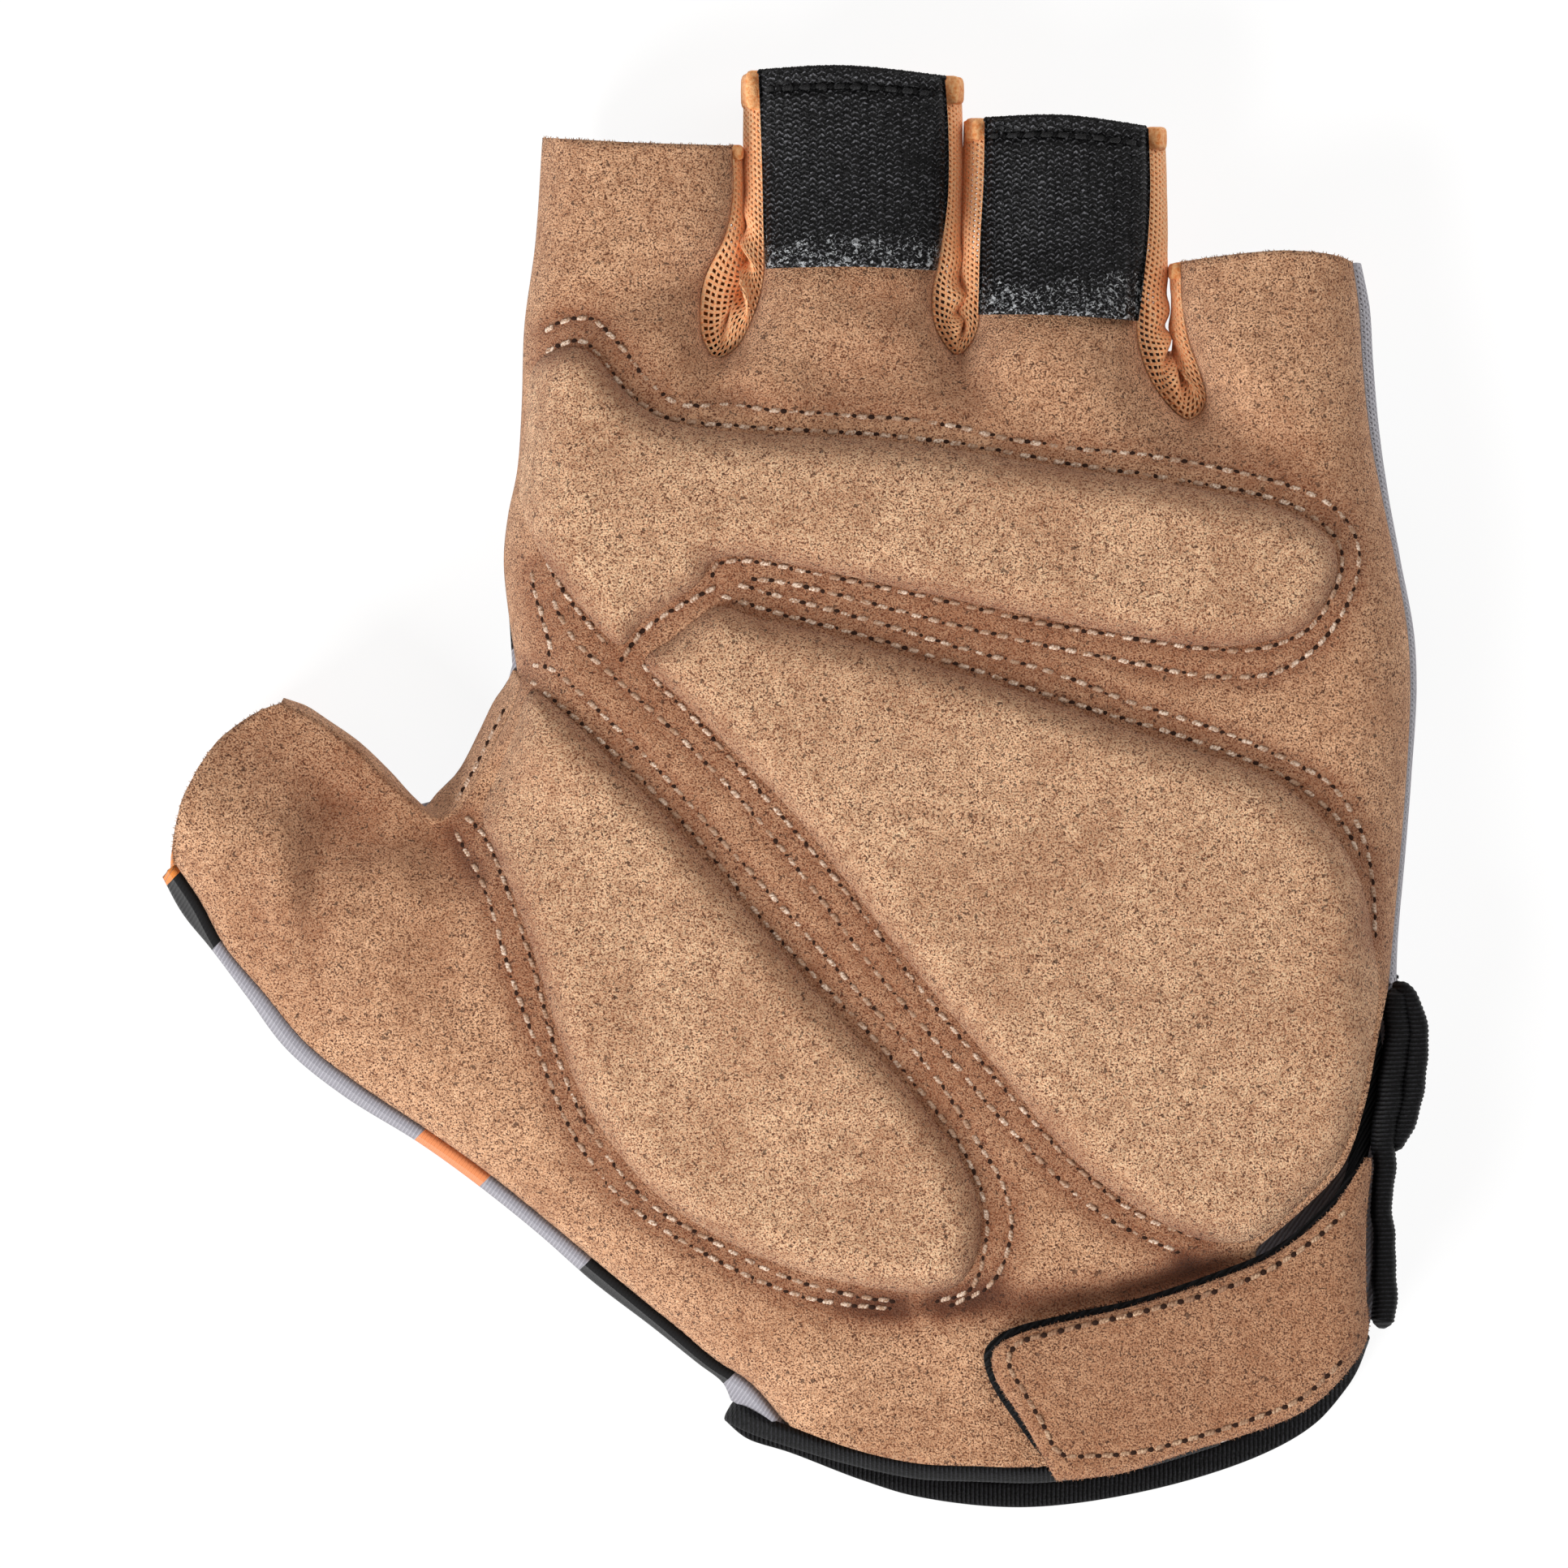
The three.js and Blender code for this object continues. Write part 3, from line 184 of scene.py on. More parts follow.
strapRow = [
    (61.1, -46.6), (57.5, -49.9), (52.1, -53.4), (46.7, -55.6), (37.7, -58.1), (28.7, -60.2), (24.4, -61.6),
    (23.5, -63.4), (25.3, -66.9), (27.4, -70.5), (29.2, -73.6), (33.2, -73.9), (37.7, -73.5), (41.3, -72.7),
    (46.7, -71.1), (51.2, -69.6), (55.7, -67.7), (59.3, -64.6), (61.1, -62.6)]


def reportStage(words, *sizes):
    print(f"{time.time() - startTime:.0f} s: {words}", *sizes)


# Lines and distances
def curveThrough(points, closed=False):
    pts = [Vector((p[0], p[1], p[2] if len(p) > 2 else 0.0)) for p in points]
    n = len(pts)
    dense = []
    last = n if closed else n - 1
    for i in range(last):
        if closed:
            p0, p1, p2, p3 = pts[i - 1], pts[i], pts[(i + 1) % n], pts[(i + 2) % n]
        else:
            p1, p2 = pts[i], pts[i + 1]
            p0 = pts[i - 1] if i > 0 else p1 + (p1 - p2)
            p3 = pts[i + 2] if i + 2 < n else p2 + (p2 - p1)
        d0 = max(math.sqrt((p1 - p0).length), 1e-4)
        d1 = max(math.sqrt((p2 - p1).length), 1e-4)
        d2 = max(math.sqrt((p3 - p2).length), 1e-4)
        t1 = ((p1 - p0) / d0 - (p2 - p0) / (d0 + d1) + (p2 - p1) / d1) * d1
        t2 = ((p2 - p1) / d1 - (p3 - p1) / (d1 + d2) + (p3 - p2) / d2) * d1
        for k in range(curveSteps):
            t = k / curveSteps
            dense.append(p1 + t1 * t + (p2 * 3 - p1 * 3 - t1 * 2 - t2) * t * t
                         + (p1 * 2 - p2 * 2 + t1 + t2) * t * t * t)
    dense.append(pts[0] if closed else pts[-1])
    line = np.array([tuple(p) for p in dense])
    return line if len(points[0]) > 2 else line[:, :2]


def lengthsAlong(line):
    return np.concatenate([[0], np.cumsum(np.linalg.norm(np.diff(line, axis=0), axis=1))])


def pointsAt(line, lengths, at):
    return np.stack([np.interp(at, lengths, column) for column in line.T], axis=1)


def unit(ways):
    return ways / np.linalg.norm(ways, axis=1)[:, None]


def smoothLine(points, step, closed=False):
    line = curveThrough(points, closed)
    lengths = lengthsAlong(line)
    count = max(2, int(round(lengths[-1] / step)))
    even = pointsAt(line, lengths, np.linspace(0, lengths[-1], count + 1))
    return even[:-1] if closed else even


# Distance to the nearest of some lines, and the spot there, in batches to save memory
def nearestOn(lines, pts, batch=4000):
    a = np.concatenate([line[:-1] for line in lines])
    b = np.concatenate([line[1:] for line in lines])
    ab = b - a
    size = np.maximum((ab ** 2).sum(1), 1e-12)
    best = np.full(len(pts), 1e9)
    spot = np.zeros((len(pts), 2))
    for start in range(0, len(pts), batch):
        p = pts[start:start + batch]
        t = np.clip((((p[:, None] - a[None]) * ab[None]).sum(2)) / size[None], 0, 1)
        q = a[None] + ab[None] * t[:, :, None]
        d = np.sqrt(((p[:, None] - q) ** 2).sum(2))
        k = d.argmin(1)
        rows = np.arange(len(p))
        best[start:start + batch] = d[rows, k]
        spot[start:start + batch] = q[rows, k]
    return best, spot


def closedRing(loop):
    return np.vstack([loop, loop[:1]])


def insideOf(loop, pts):
    inside = np.zeros(len(pts), bool)
    x, y = pts[:, 0], pts[:, 1]
    for i in range(len(loop)):
        x1, y1 = loop[i - 1]
        x2, y2 = loop[i]
        if y1 != y2:
            inside ^= ((y1 > y) != (y2 > y)) & (x < (x2 - x1) * (y - y1) / (y2 - y1) + x1)
    return inside


def smooth(a, b, v):
    t = np.clip((v - a) / (b - a), 0, 1)
    return t * t * (3 - 2 * t)


# Palm and back as heights over the floor
def crownPart(column, y):
    ys, values = np.array(crown)[::-1, 0], np.array(crown)[::-1, column]
    k = np.clip(np.searchsorted(ys, y) - 1, 0, len(ys) - 2)
    t = smooth(ys[k], ys[k + 1], y)
    return values[k] * (1 - t) + values[k + 1] * t


def thumbShare(pts):
    base, tip = np.array(thumb["base"]), np.array(thumb["tip"])
    way = (tip - base) / np.linalg.norm(tip - base)
    rel = pts - base
    along = rel @ way
    across = rel[:, 1] * way[0] - rel[:, 0] * way[1]
    share = smooth(-4, 18, along) * (1 - smooth(15, 24, np.abs(across)))
    return along, across, share


def palmCrown(pts):
    side = (pts[:, 0] - crownPart(1, pts[:, 1])) / palmHalfWidth
    hand = crownPart(2, pts[:, 1]) - crownPart(3, pts[:, 1]) * side ** 2
    along, across, share = thumbShare(pts)
    onThumb = thumb["height"] - thumb["fall"] * (across / thumb["half"]) ** 2
    return hand + (onThumb - hand) * share


def backFloor(pts):
    along, across, share = thumbShare(pts)
    return thumb["lift"] * share * smooth(4, 26, along) + 1.2 * smooth(56, 82, pts[:, 1])


class GloveSide:
    def __init__(self, runs, seams, level):
        self.runs, self.seams, self.level = runs, seams, level
        self.seamLines = [(kind, smoothLine(points, 1.2)) for kind, points in runs if kind != "open"]

    def nearestSeam(self, pts):
        return nearestOn([line for kind, line in self.seamLines], pts)

    # The cloth rolls down to its seams in a quarter circle
    def height(self, pts):
        flat = self.level(pts)
        move = np.zeros(len(pts))
        for kind, line in self.seamLines:
            d = nearestOn([line], pts)[0]
            rise = np.sqrt(np.clip(1 - (1 - np.minimum(d, rollWidth) / rollWidth) ** 2, 0, 1))
            change = (self.seams[kind] - flat) * (1 - rise)
            move = np.where(np.abs(change) > np.abs(move), change, move)
        return flat + move

    def place(self, pts):
        d, spot = self.nearestSeam(pts)
        near = np.minimum(d, rollWidth)
        turn = rollWidth * (1 - np.cos(math.pi / 2 * near / rollWidth))
        way = (pts - spot) / np.maximum(d, 1e-9)[:, None]
        return np.where((d < rollWidth)[:, None], spot + way * turn[:, None], pts)

    def rim(self, pts):
        return self.height(self.nearestSeam(pts)[1])

    def loop(self, step):
        return np.concatenate([smoothLine(points, step)[:-1] for kind, points in self.runs])


palm = GloveSide(palmRuns, palmSeams, palmCrown)
back = GloveSide(backRuns, backSeams, backFloor)
rowLines = [smoothLine(points, 0.8) for points in stitchRows.values()]

# Folds and dents of the suede: x, y of both ends, depth, width, how much painted shade lies on the nap there
# (below zero, painted light)
folds = [
    (-9.5, 57.6, -27.0, 51.4, 1.5, 3.0, 0.15),
    (-7.5, 45.2, -8.2, 41.8, 0.9, 2.6, 0.2),
    (1.7, 45.0, 12.6, 48.2, 1.3, 4.4, 0.45),
    (4.0, 55.0, 14.0, 53.5, 0.9, 2.4, 0.3),
    (16.7, 47.7, 20.8, 43.0, 1.1, 2.8, 0.45),
    (44.6, 41.1, 57.7, 35.4, 1.0, 3.0, 0.4),
    (-6.6, 49.0, -0.8, 43.6, -1.0, 3.2, 0.0),
    (22.0, 49.5, 35.0, 43.5, -1.1, 4.2, 0.0),
    (46.0, 50.0, 56.0, 42.5, -0.9, 4.0, 0.0),
    (-61.6, -6.6, -59.4, -17.5, 0.8, 1.9, 0.2),
    (-52.6, 2.0, -53.6, -19.0, 1.3, 2.5, 0.4),
    (-50.5, -0.5, -47.5, -8.0, 0.9, 3.4, 0.5),
    (-42.0, -4.0, -35.5, -10.5, 1.1, 2.8, 0.6),
    (-42.0, -14.0, -38.0, -26.0, 0.6, 3.0, 0.15),
    (-45.8, -7.0, -42.6, -14.0, -0.7, 2.6, 0.0),
    (-57.0, -4.0, -56.0, -15.0, -1.0, 2.2, -0.1),
    (-16.0, -62.0, -4.0, -58.0, 0.6, 2.6, 0.1),
    (10.0, -63.0, 18.0, -66.0, 0.5, 3.0, 0.1),
    (-64.0, 6.0, -43.0, -1.0, 0.0, 6.0, 0.6),
    (-64.0, -8.0, -50.0, -24.0, 0.0, 7.0, 0.18),
    (-14.0, 41.8, 22.0, 38.8, 0.0, 1.8, -0.7),
    (20.0, 38.8, 56.0, 32.6, 0.0, 1.8, -0.35),
    (4.0, -58.4, 20.0, -57.5, 0.7, 2.6, 0.7),
    (20.0, -57.5, 36.0, -55.9, 1.4, 2.6, 1.35),
    (36.0, -55.9, 50.0, -52.2, 1.8, 2.1, 1.5)]


def foldShares(pts):
    for x1, y1, x2, y2, depth, width, shadeTint in folds:
        a, b = np.array((x1, y1)), np.array((x2, y2))
        ab = b - a
        t = ((pts - a) @ ab) / (ab @ ab)
        q = a + np.clip(t, 0, 1)[:, None] * ab
        d = np.linalg.norm(pts - q, axis=1)
        taper = smooth(-0.25, 0.25, t) * (1 - smooth(0.75, 1.25, t))
        yield np.exp(-(d / width) ** 2) * taper, depth, shadeTint


def foldField(pts):
    return -sum(share * depth for share, depth, shadeTint in foldShares(pts))


channelSettings = {"depth": 0.45, "width": 0.85, "darkWidth": 1.9}


# Every sewn row is drawn a little into the suede
def ditchField(pts):
    return -channelSettings["depth"] * np.exp(-(nearestOn(rowLines, pts)[0] / channelSettings["width"]) ** 2)


# The thumb leans over, so its inner half falls away towards the crotch
def thumbLean(pts, z):
    along, across, share = thumbShare(pts)
    return -(z - palmSeams["thumb"]) * thumb["lean"] * share * smooth(-8, 9, -across)


def palmSurface(pts):
    z = palm.height(pts)
    return z + thumbLean(pts, z) + foldField(pts) + ditchField(pts)


# Painted shade on the nap: 1 in a sewn channel, more in a deep fold, and less, down to painted light, where
# light catches it
def shadeShare(pts):
    channel = np.exp(-(nearestOn(rowLines, pts)[0] / channelSettings["darkWidth"]) ** 2)
    return channel + sum(share * shadeTint for share, depth, shadeTint in foldShares(pts))


# Making pieces
def openPiece(bm, name, material, nodes):
    mesh = bpy.data.meshes.new(name)
    bm.to_mesh(mesh)
    bm.free()
    for poly in mesh.polygons:
        poly.use_smooth = True
    piece = bpy.data.objects.new(name, mesh)
    bpy.context.collection.objects.link(piece)
    mesh.materials.append(material)
    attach(piece, "root")
    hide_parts(*nodes)
    return piece


def closedPiece(bm, name, material, nodes):
    bmesh.ops.recalc_face_normals(bm, faces=bm.faces)
    return openPiece(bm, name, material, nodes)


def cutGrid(loop, step):
    lo, hi = loop.min(0) - step, loop.max(0) + step
    nx = int(math.ceil((hi[0] - lo[0]) / step))
    ny = int(math.ceil((hi[1] - lo[1]) / step))
    bm = bmesh.new()
    bmesh.ops.create_grid(bm, x_segments=nx, y_segments=ny, size=0.5)
    co = np.array([v.co.xy for v in bm.verts]) + 0.5
    co = lo + co * (hi - lo)
    for v, c in zip(bm.verts, co):
        v.co = (c[0], c[1], 0)
    bm.faces.ensure_lookup_table()
    centres = np.array([f.calc_center_median().xy for f in bm.faces])
    keep = insideOf(loop, centres)
    bmesh.ops.delete(bm, geom=[f for f, k in zip(bm.faces, keep) if not k], context="FACES")
    rim = [v for v in bm.verts if v.is_boundary]
    d, spot = nearestOn([closedRing(loop)], np.array([v.co.xy for v in rim]))
    for v, s in zip(rim, spot):
        v.co = (s[0], s[1], 0)
    bmesh.ops.remove_doubles(bm, verts=rim, dist=step * 0.12)
    return bm


def flatPoints(bm):
    return np.array([v.co.xy for v in bm.verts])


def setPoints(bm, xyz):
    for v, c in zip(bm.verts, xyz):
        v.co = (c[0] * mm, c[1] * mm, c[2] * mm)


def loopArea(loop):
    x, y = loop[:, 0], loop[:, 1]
    return abs(np.dot(x, np.roll(y, 1)) - np.dot(y, np.roll(x, 1))) / 2 * mm * mm


def thicken(piece, thickness):
    solid = piece.modifiers.new("thickness", "SOLIDIFY")
    solid.thickness = thickness * mm
    solid.offset = -1.0
    solid.use_even_offset = False


# A closed piece between two heights over the same outline
def slab(name, outline, step, upper, lower, material, node):
    loop = smoothLine(outline, step * 0.6, closed=True)
    bm = cutGrid(loop, step)
    pts = flatPoints(bm)
    d = nearestOn([closedRing(loop)], pts)[0]
    high, low = upper(pts, d), lower(pts, d)
    under = bm.verts[:]
    made = bmesh.ops.extrude_face_region(bm, geom=bm.faces[:], use_keep_orig=True)
    over = [g for g in made["geom"] if isinstance(g, bmesh.types.BMVert)]
    highAt = {(round(p[0], 5), round(p[1], 5)): z for p, z in zip(pts, high)}
    for v, z in zip(under, low):
        v.co = (v.co.x * mm, v.co.y * mm, z * mm)
    for v in over:
        v.co = (v.co.x * mm, v.co.y * mm, highAt[(round(v.co.x, 5), round(v.co.y, 5))] * mm)
    return closedPiece(bm, name, material, [node])


# Materials, all from nodes in Object coordinates (metres)
def linear(hexColour):
    parts = [int(hexColour[i:i + 2], 16) / 255 for i in (0, 2, 4)]
    return tuple(c / 12.92 if c < 0.04045 else ((c + 0.055) / 1.055) ** 2.4 for c in parts) + (1.0,)


class Finish:
    def __init__(self, name, roughness, sheen=0.0, sheenRoughness=0.5, specular=0.25):
        self.material = bpy.data.materials.new(name)
        self.material.use_nodes = True
        self.nodes = self.material.node_tree.nodes
        self.links = self.material.node_tree.links
        self.shader = self.nodes["Principled BSDF"]
        self.fill(self.shader, {"Roughness": roughness, "Specular IOR Level": specular,
                                "Sheen Weight": sheen, "Sheen Roughness": sheenRoughness})
        self.coords = self.nodes.new("ShaderNodeTexCoord").outputs["Object"]

    # Each named input gets a value or a link
    def fill(self, node, values):
        for name, value in values.items():
            if isinstance(value, bpy.types.NodeSocket):
                self.links.new(value, node.inputs[name])
            else:
                node.inputs[name].default_value = value
        return node

    def noise(self, size, detail=2.0, roughness=0.5, distortion=0.0):
        return self.fill(self.nodes.new("ShaderNodeTexNoise"), {
            "Scale": 1.0 / (size * mm), "Detail": detail, "Roughness": roughness,
            "Distortion": distortion, "Vector": self.coords}).outputs["Fac"]

    def ramp(self, source, stops):
        ramp = self.fill(self.nodes.new("ShaderNodeValToRGB"), {"Fac": source})
        while len(ramp.color_ramp.elements) < len(stops):
            ramp.color_ramp.elements.new(0.5)
        for element, (place, colour) in zip(ramp.color_ramp.elements, stops):
            element.position = place
            element.color = colour if isinstance(colour, tuple) else (colour, colour, colour, 1)
        return ramp.outputs["Color"]

    def mix(self, share, first, second):
        mix = self.nodes.new("ShaderNodeMix")
        mix.data_type = "RGBA"
        return self.fill(mix, {"Factor": share, "A": first, "B": second}).outputs["Result"]

    def math(self, kind, *values):
        step = self.nodes.new("ShaderNodeMath")
        step.operation = kind
        return self.fill(step, dict(enumerate(values))).outputs[0]

    def times(self, first, second):
        return self.math("MULTIPLY", first, second)

    def plus(self, first, second):
        return self.math("ADD", first, second)

    def minus(self, first, second):
        return self.math("SUBTRACT", first, second)

    def axis(self, name):
        return self.fill(self.nodes.new("ShaderNodeSeparateXYZ"), {"Vector": self.coords}).outputs[name]

    # Ribs of one pitch in millimetres, turned by some degrees
    def wave(self, pitch, degrees):
        turn = self.fill(self.nodes.new("ShaderNodeMapping"), {
            "Rotation": (0, 0, math.radians(degrees)), "Vector": self.coords})
        return self.fill(self.nodes.new("ShaderNodeTexWave"), {
            "Scale": 0.31416 / (pitch * mm), "Vector": turn.outputs["Vector"]}).outputs["Fac"]

    def colour(self, source):
        self.fill(self.shader, {"Base Color": source})

    def bump(self, source, depth):
        bump = self.fill(self.nodes.new("ShaderNodeBump"), {"Distance": depth * mm, "Height": source})
        self.fill(self.shader, {"Normal": bump.outputs["Normal"]})


# The first two colours are painted shade: for the sewn channels and folds, and for the deepest folds
suedeLook = {"paintedShade": "813E1C", "deep": "472413", "speck": "40200F", "mottle": "8E5634", "worn": "9C5F3A",
             "grainSize": 0.20, "speckSize": 0.50, "mottleSize": 1.7, "patchSize": 11.0, "napDepth": 0.42}


def suedeFinish(name, light, mid, shadow):
    s = suedeLook
    f = Finish(name, 0.95, sheen=0.10, sheenRoughness=0.6)
    grain = f.noise(s["grainSize"], 2.0, 0.55, 0.4)
    mottle = f.noise(s["mottleSize"], 4.0, 0.65)
    patches = f.noise(s["patchSize"], 3.0)
    spots = f.noise(s["speckSize"], 1.0, 0.5, 0.8)
    nap = f.ramp(grain, [(0.38, linear(shadow)), (0.47, linear(mid)), (0.62, linear(light))])
    nap = f.mix(f.ramp(mottle, [(0.38, 0.36), (0.58, 0.0)]), nap, linear(s["mottle"]))
    nap = f.mix(f.ramp(patches, [(0.36, 0.26), (0.60, 0.0)]), nap, linear(s["worn"]))
    # Painted shade along the sewn channels and in the folds, darker still in the deepest folds
    paintedShade = f.nodes.new("ShaderNodeAttribute")
    paintedShade.attribute_name = "paintedShade"
    share = paintedShade.outputs["Fac"]
    nap = f.mix(f.math("MINIMUM", f.times(share, 0.52), 0.8), nap, linear(s["paintedShade"]))
    deep = f.math("MAXIMUM", f.times(f.minus(share, 0.9), 0.9), 0.0)
    nap = f.mix(f.math("MINIMUM", deep, 0.85), nap, linear(s["deep"]))
    f.colour(f.mix(f.ramp(spots, [(0.30, 0.75), (0.36, 0.0)]), nap, linear(s["speck"])))
    f.bump(f.plus(grain, f.times(mottle, 0.35)), s["napDepth"])
    return f.material


# Stores how much painted shade each point of a piece gets, as an attribute
def paintShadeInto(piece):
    mesh = piece.data
    co = np.empty(len(mesh.vertices) * 3)
    mesh.vertices.foreach_get("co", co)
    share = shadeShare(co.reshape(-1, 3)[:, :2] / mm)
    mesh.attributes.new("paintedShade", "FLOAT", "POINT").data.foreach_set("value", share)


def netFinish(name, low, high, size=0.22):
    f = Finish(name, 0.75, sheen=0.1)
    yarn = f.noise(size, 3.0, 0.6)
    f.colour(f.ramp(yarn, [(0.35, linear(low)), (0.62, linear(high))]))
    f.bump(yarn, 0.3 * size)
    return f.material


# Thin ribbed stretch cloth: grey, with areas of colour between slanted lines across the hand
stretchLook = {"grey": ("8D8B93", "C0BDC5"), "ribPitch": 0.42, "ribTurn": 35.0,
               "areas": [(-3.4, 9.0, "E88F5C"), (29.4, 58.0, "111113"), (-59.2, -47.0, "111113"),
                         (-68.0, -59.2, "E58A3F")]}


def stretchFinish(name):
    s = stretchLook
    f = Finish(name, 0.85, sheen=0.15)
    ribs = f.wave(s["ribPitch"], s["ribTurn"])
    grain = f.noise(0.25, 2.0)
    colour = f.mix(f.times(ribs, grain), *map(linear, s["grey"]))
    along = f.minus(f.axis("X"), f.axis("Y"))
    for low, high, dye in s["areas"]:
        within = f.times(f.math("GREATER_THAN", along, low * mm), f.math("LESS_THAN", along, high * mm))
        colour = f.mix(within, colour, linear(dye))
    f.colour(colour)
    f.bump(f.plus(ribs, f.times(grain, 0.5)), 0.10)
    return f.material


def blackFinish(name, ribPitch, degrees, glint="242428"):
    f = Finish(name, 0.6, specular=0.16)
    ribs = f.wave(ribPitch, degrees)
    fibre = f.noise(0.30, 3.0, 0.7)
    shine = f.times(f.plus(ribs, 0.35), fibre)
    f.colour(f.ramp(shine, [(0.22, linear("040405")), (0.50, linear("0D0D0E")), (0.72, linear(glint))]))
    f.bump(f.plus(ribs, fibre), 0.12)
    return f.material


tabSettings = {"step": 0.17, "above": 0.3, "lift": 1.2, "thickness": 1.35, "row": (0.5, 0.7),
               "wale": 0.94, "loop": 0.64, "slant": 0.45, "loopDepth": 0.15, "grooveDepth": 0.12,
               "black": ("040405", "131315", "77777C"), "fleck": "B2B5B8"}


# Knitted tape: loops in columns with painted grey glints on them, and pale flecks where the free edge is worn
def tapeFinish(name, wornFrom):
    s = tabSettings
    f = Finish(name, 0.5, specular=0.22)
    column = f.times(f.axis("X"), 1 / (s["wale"] * mm))
    nearest = f.math("ROUND", column)
    across = f.times(f.math("ABSOLUTE", f.minus(column, nearest)), 2.0)
    odd = f.times(f.math("MODULO", f.math("ABSOLUTE", nearest), 2.0), 0.5)
    turns = f.plus(f.times(f.axis("Y"), 1 / (s["loop"] * mm)), f.plus(f.times(across, s["slant"]), odd))
    turns = f.plus(turns, f.times(f.noise(0.75, 1.0), 0.8))
    loops = f.math("SINE", f.times(turns, 2 * math.pi))
    fibre = f.noise(0.26, 3.0, 0.7)
    broken = f.noise(1.1, 2.0, 0.6)
    shine = f.plus(f.times(loops, 0.16), f.plus(f.times(fibre, 0.9), f.times(broken, 0.25)))
    # The third colour is a painted glint on the loops
    black = f.ramp(shine, list(zip((0.50, 0.68, 0.87), map(linear, s["black"]))))
    fade = f.times(f.minus(wornFrom * mm, f.axis("Y")), 170.0)
    reach = f.plus(fade, f.times(f.minus(f.noise(6.0, 1.0), 0.5), 1.5))
    flecks = f.times(f.noise(0.50, 2.0, 0.6, 1.0), f.ramp(reach, [(0.0, 0.5), (0.6, 1.0)]))
    f.colour(f.mix(f.ramp(flecks, [(0.565, 0.0), (0.60, 0.95)]), black, linear(s["fleck"])))
    f.bump(f.plus(loops, fibre), 0.08)
    return f.material


def threadFinish(name, low, high):
    f = Finish(name, 0.6, sheen=0.1)
    fibre = f.noise(0.25, 2.0, 0.6)
    faded = f.noise(5.0, 2.0)
    fresh = f.mix(f.ramp(fibre, [(0.38, 0.0), (0.62, 1.0)]), linear(low), linear(high))
    f.colour(f.mix(f.ramp(faded, [(0.42, 0.75), (0.60, 0.0)]), fresh, linear(low)))
    f.bump(fibre, 0.08)
    return f.material


def plainFinish(name, colour):
    f = Finish(name, 0.9)
    f.colour(linear(colour))
    return f.material


suede = suedeFinish("suede", "F9CAA2", "E2A97F", "502B1B")
padSuede = suedeFinish("pad_suede", "FFDBB2", "F2B88E", "5A3220")
strapSuede = suedeFinish("strap_suede", "D9A984", "C08A65", "4E2A1A")
orangeNet = netFinish("orange_net", "FFA062", "FFD3A2")
orangeHem = netFinish("orange_hem", "E88D4C", "FFC388", 0.45)
greyNet = netFinish("grey_net", "96949B", "BDBBC2")
stretch = stretchFinish("stretch_fabric")
bindingBlack = blackFinish("binding_rib", 0.5, 0.0)
slitBlack = blackFinish("slit_rib", 0.5, 90.0)
hookBlack = blackFinish("hook_layer", 0.7, 45.0, "17171A")
# Darker black with a weaker glint for the gusset: painted shade deep in the wrist slit
gussetBlack = blackFinish("gusset_fabric", 0.4, 30.0, "0E0E10")
thread = threadFinish("thread", "9E775A", "F2DCC8")
strapThread = threadFinish("strap_thread", "8A6248", "D9B898")
blackThread = threadFinish("black_thread", "040405", "1E1E21")
# Flat dark discs: painted shade inside the needle holes
needle = plainFinish("needle_holes", "2C170D")
reportStage("materials ready")

# Palm suede
palmSettings = {"step": 0.85, "thickness": 1.5, "rough": 0.035, "flat": (0.150, 0.168)}
palmMesh = cutGrid(palm.loop(0.5), palmSettings["step"])
palmPoints = palm.place(flatPoints(palmMesh))
rough = np.random.default_rng(4).normal(0, palmSettings["rough"], len(palmPoints))
rough *= smooth(0, 2, palm.nearestSeam(palmPoints)[0])
setPoints(palmMesh, np.column_stack([palmPoints, palmSurface(palmPoints) + rough]))
palmArea = sum(f.calc_area() for f in palmMesh.faces)
palmPiece = openPiece(palmMesh, "palm_suede", suede, ["palm_panel"])
paintShadeInto(palmPiece)
thicken(palmPiece, palmSettings["thickness"])
reportStage("palm ready, square metres:", round(palmArea, 5))

# Back fabric
backSettings = {"step": 1.4, "thickness": 1.1, "flat": (0.150, 0.168)}
backMesh = cutGrid(back.loop(0.8), backSettings["step"])
backPoints = back.place(flatPoints(backMesh))
setPoints(backMesh, np.column_stack([backPoints, back.height(backPoints)]))
bmesh.ops.reverse_faces(backMesh, faces=backMesh.faces)
backArea = sum(f.calc_area() for f in backMesh.faces)
backPiece = openPiece(backMesh, "back_fabric", stretch, ["back_panel"])
thicken(backPiece, backSettings["thickness"])
reportStage("back ready, square metres:", round(backArea, 5))

# Gel pads, domed between their seams
padSettings = {"step": 0.75, "rim": 0.25, "shoulder": 4.4, "power": 2.6, "sway": 0.16, "fill": 0.85,
               "knuckle": 2.7, "ulnar": 3.0, "thenar": 2.8}
knuckleOutline = [
    (-28.9, 47.2), (-25.3, 49.0), (-22.6, 48.2), (-20.2, 45.4), (-16.7, 42.0), (-13.4, 40.6), (-7.3, 39.6),
    (10.7, 38.5), (29.6, 35.6), (46.7, 32.8), (56.2, 30.0), (59.4, 27.2), (60.0, 24.3), (57.4, 18.9),
    (54.4, 17.0), (46.7, 15.8), (32.3, 17.9), (14.3, 21.7), (1.7, 24.4), (-6.6, 25.8), (-9.3, 25.2),
    (-10.8, 22.9), (-14.9, 20.0), (-17.4, 18.2), (-19.4, 15.9), (-21.7, 17.6), (-25.2, 21.8), (-28.6, 26.6),
    (-30.6, 32.0), (-30.2, 40.0)]
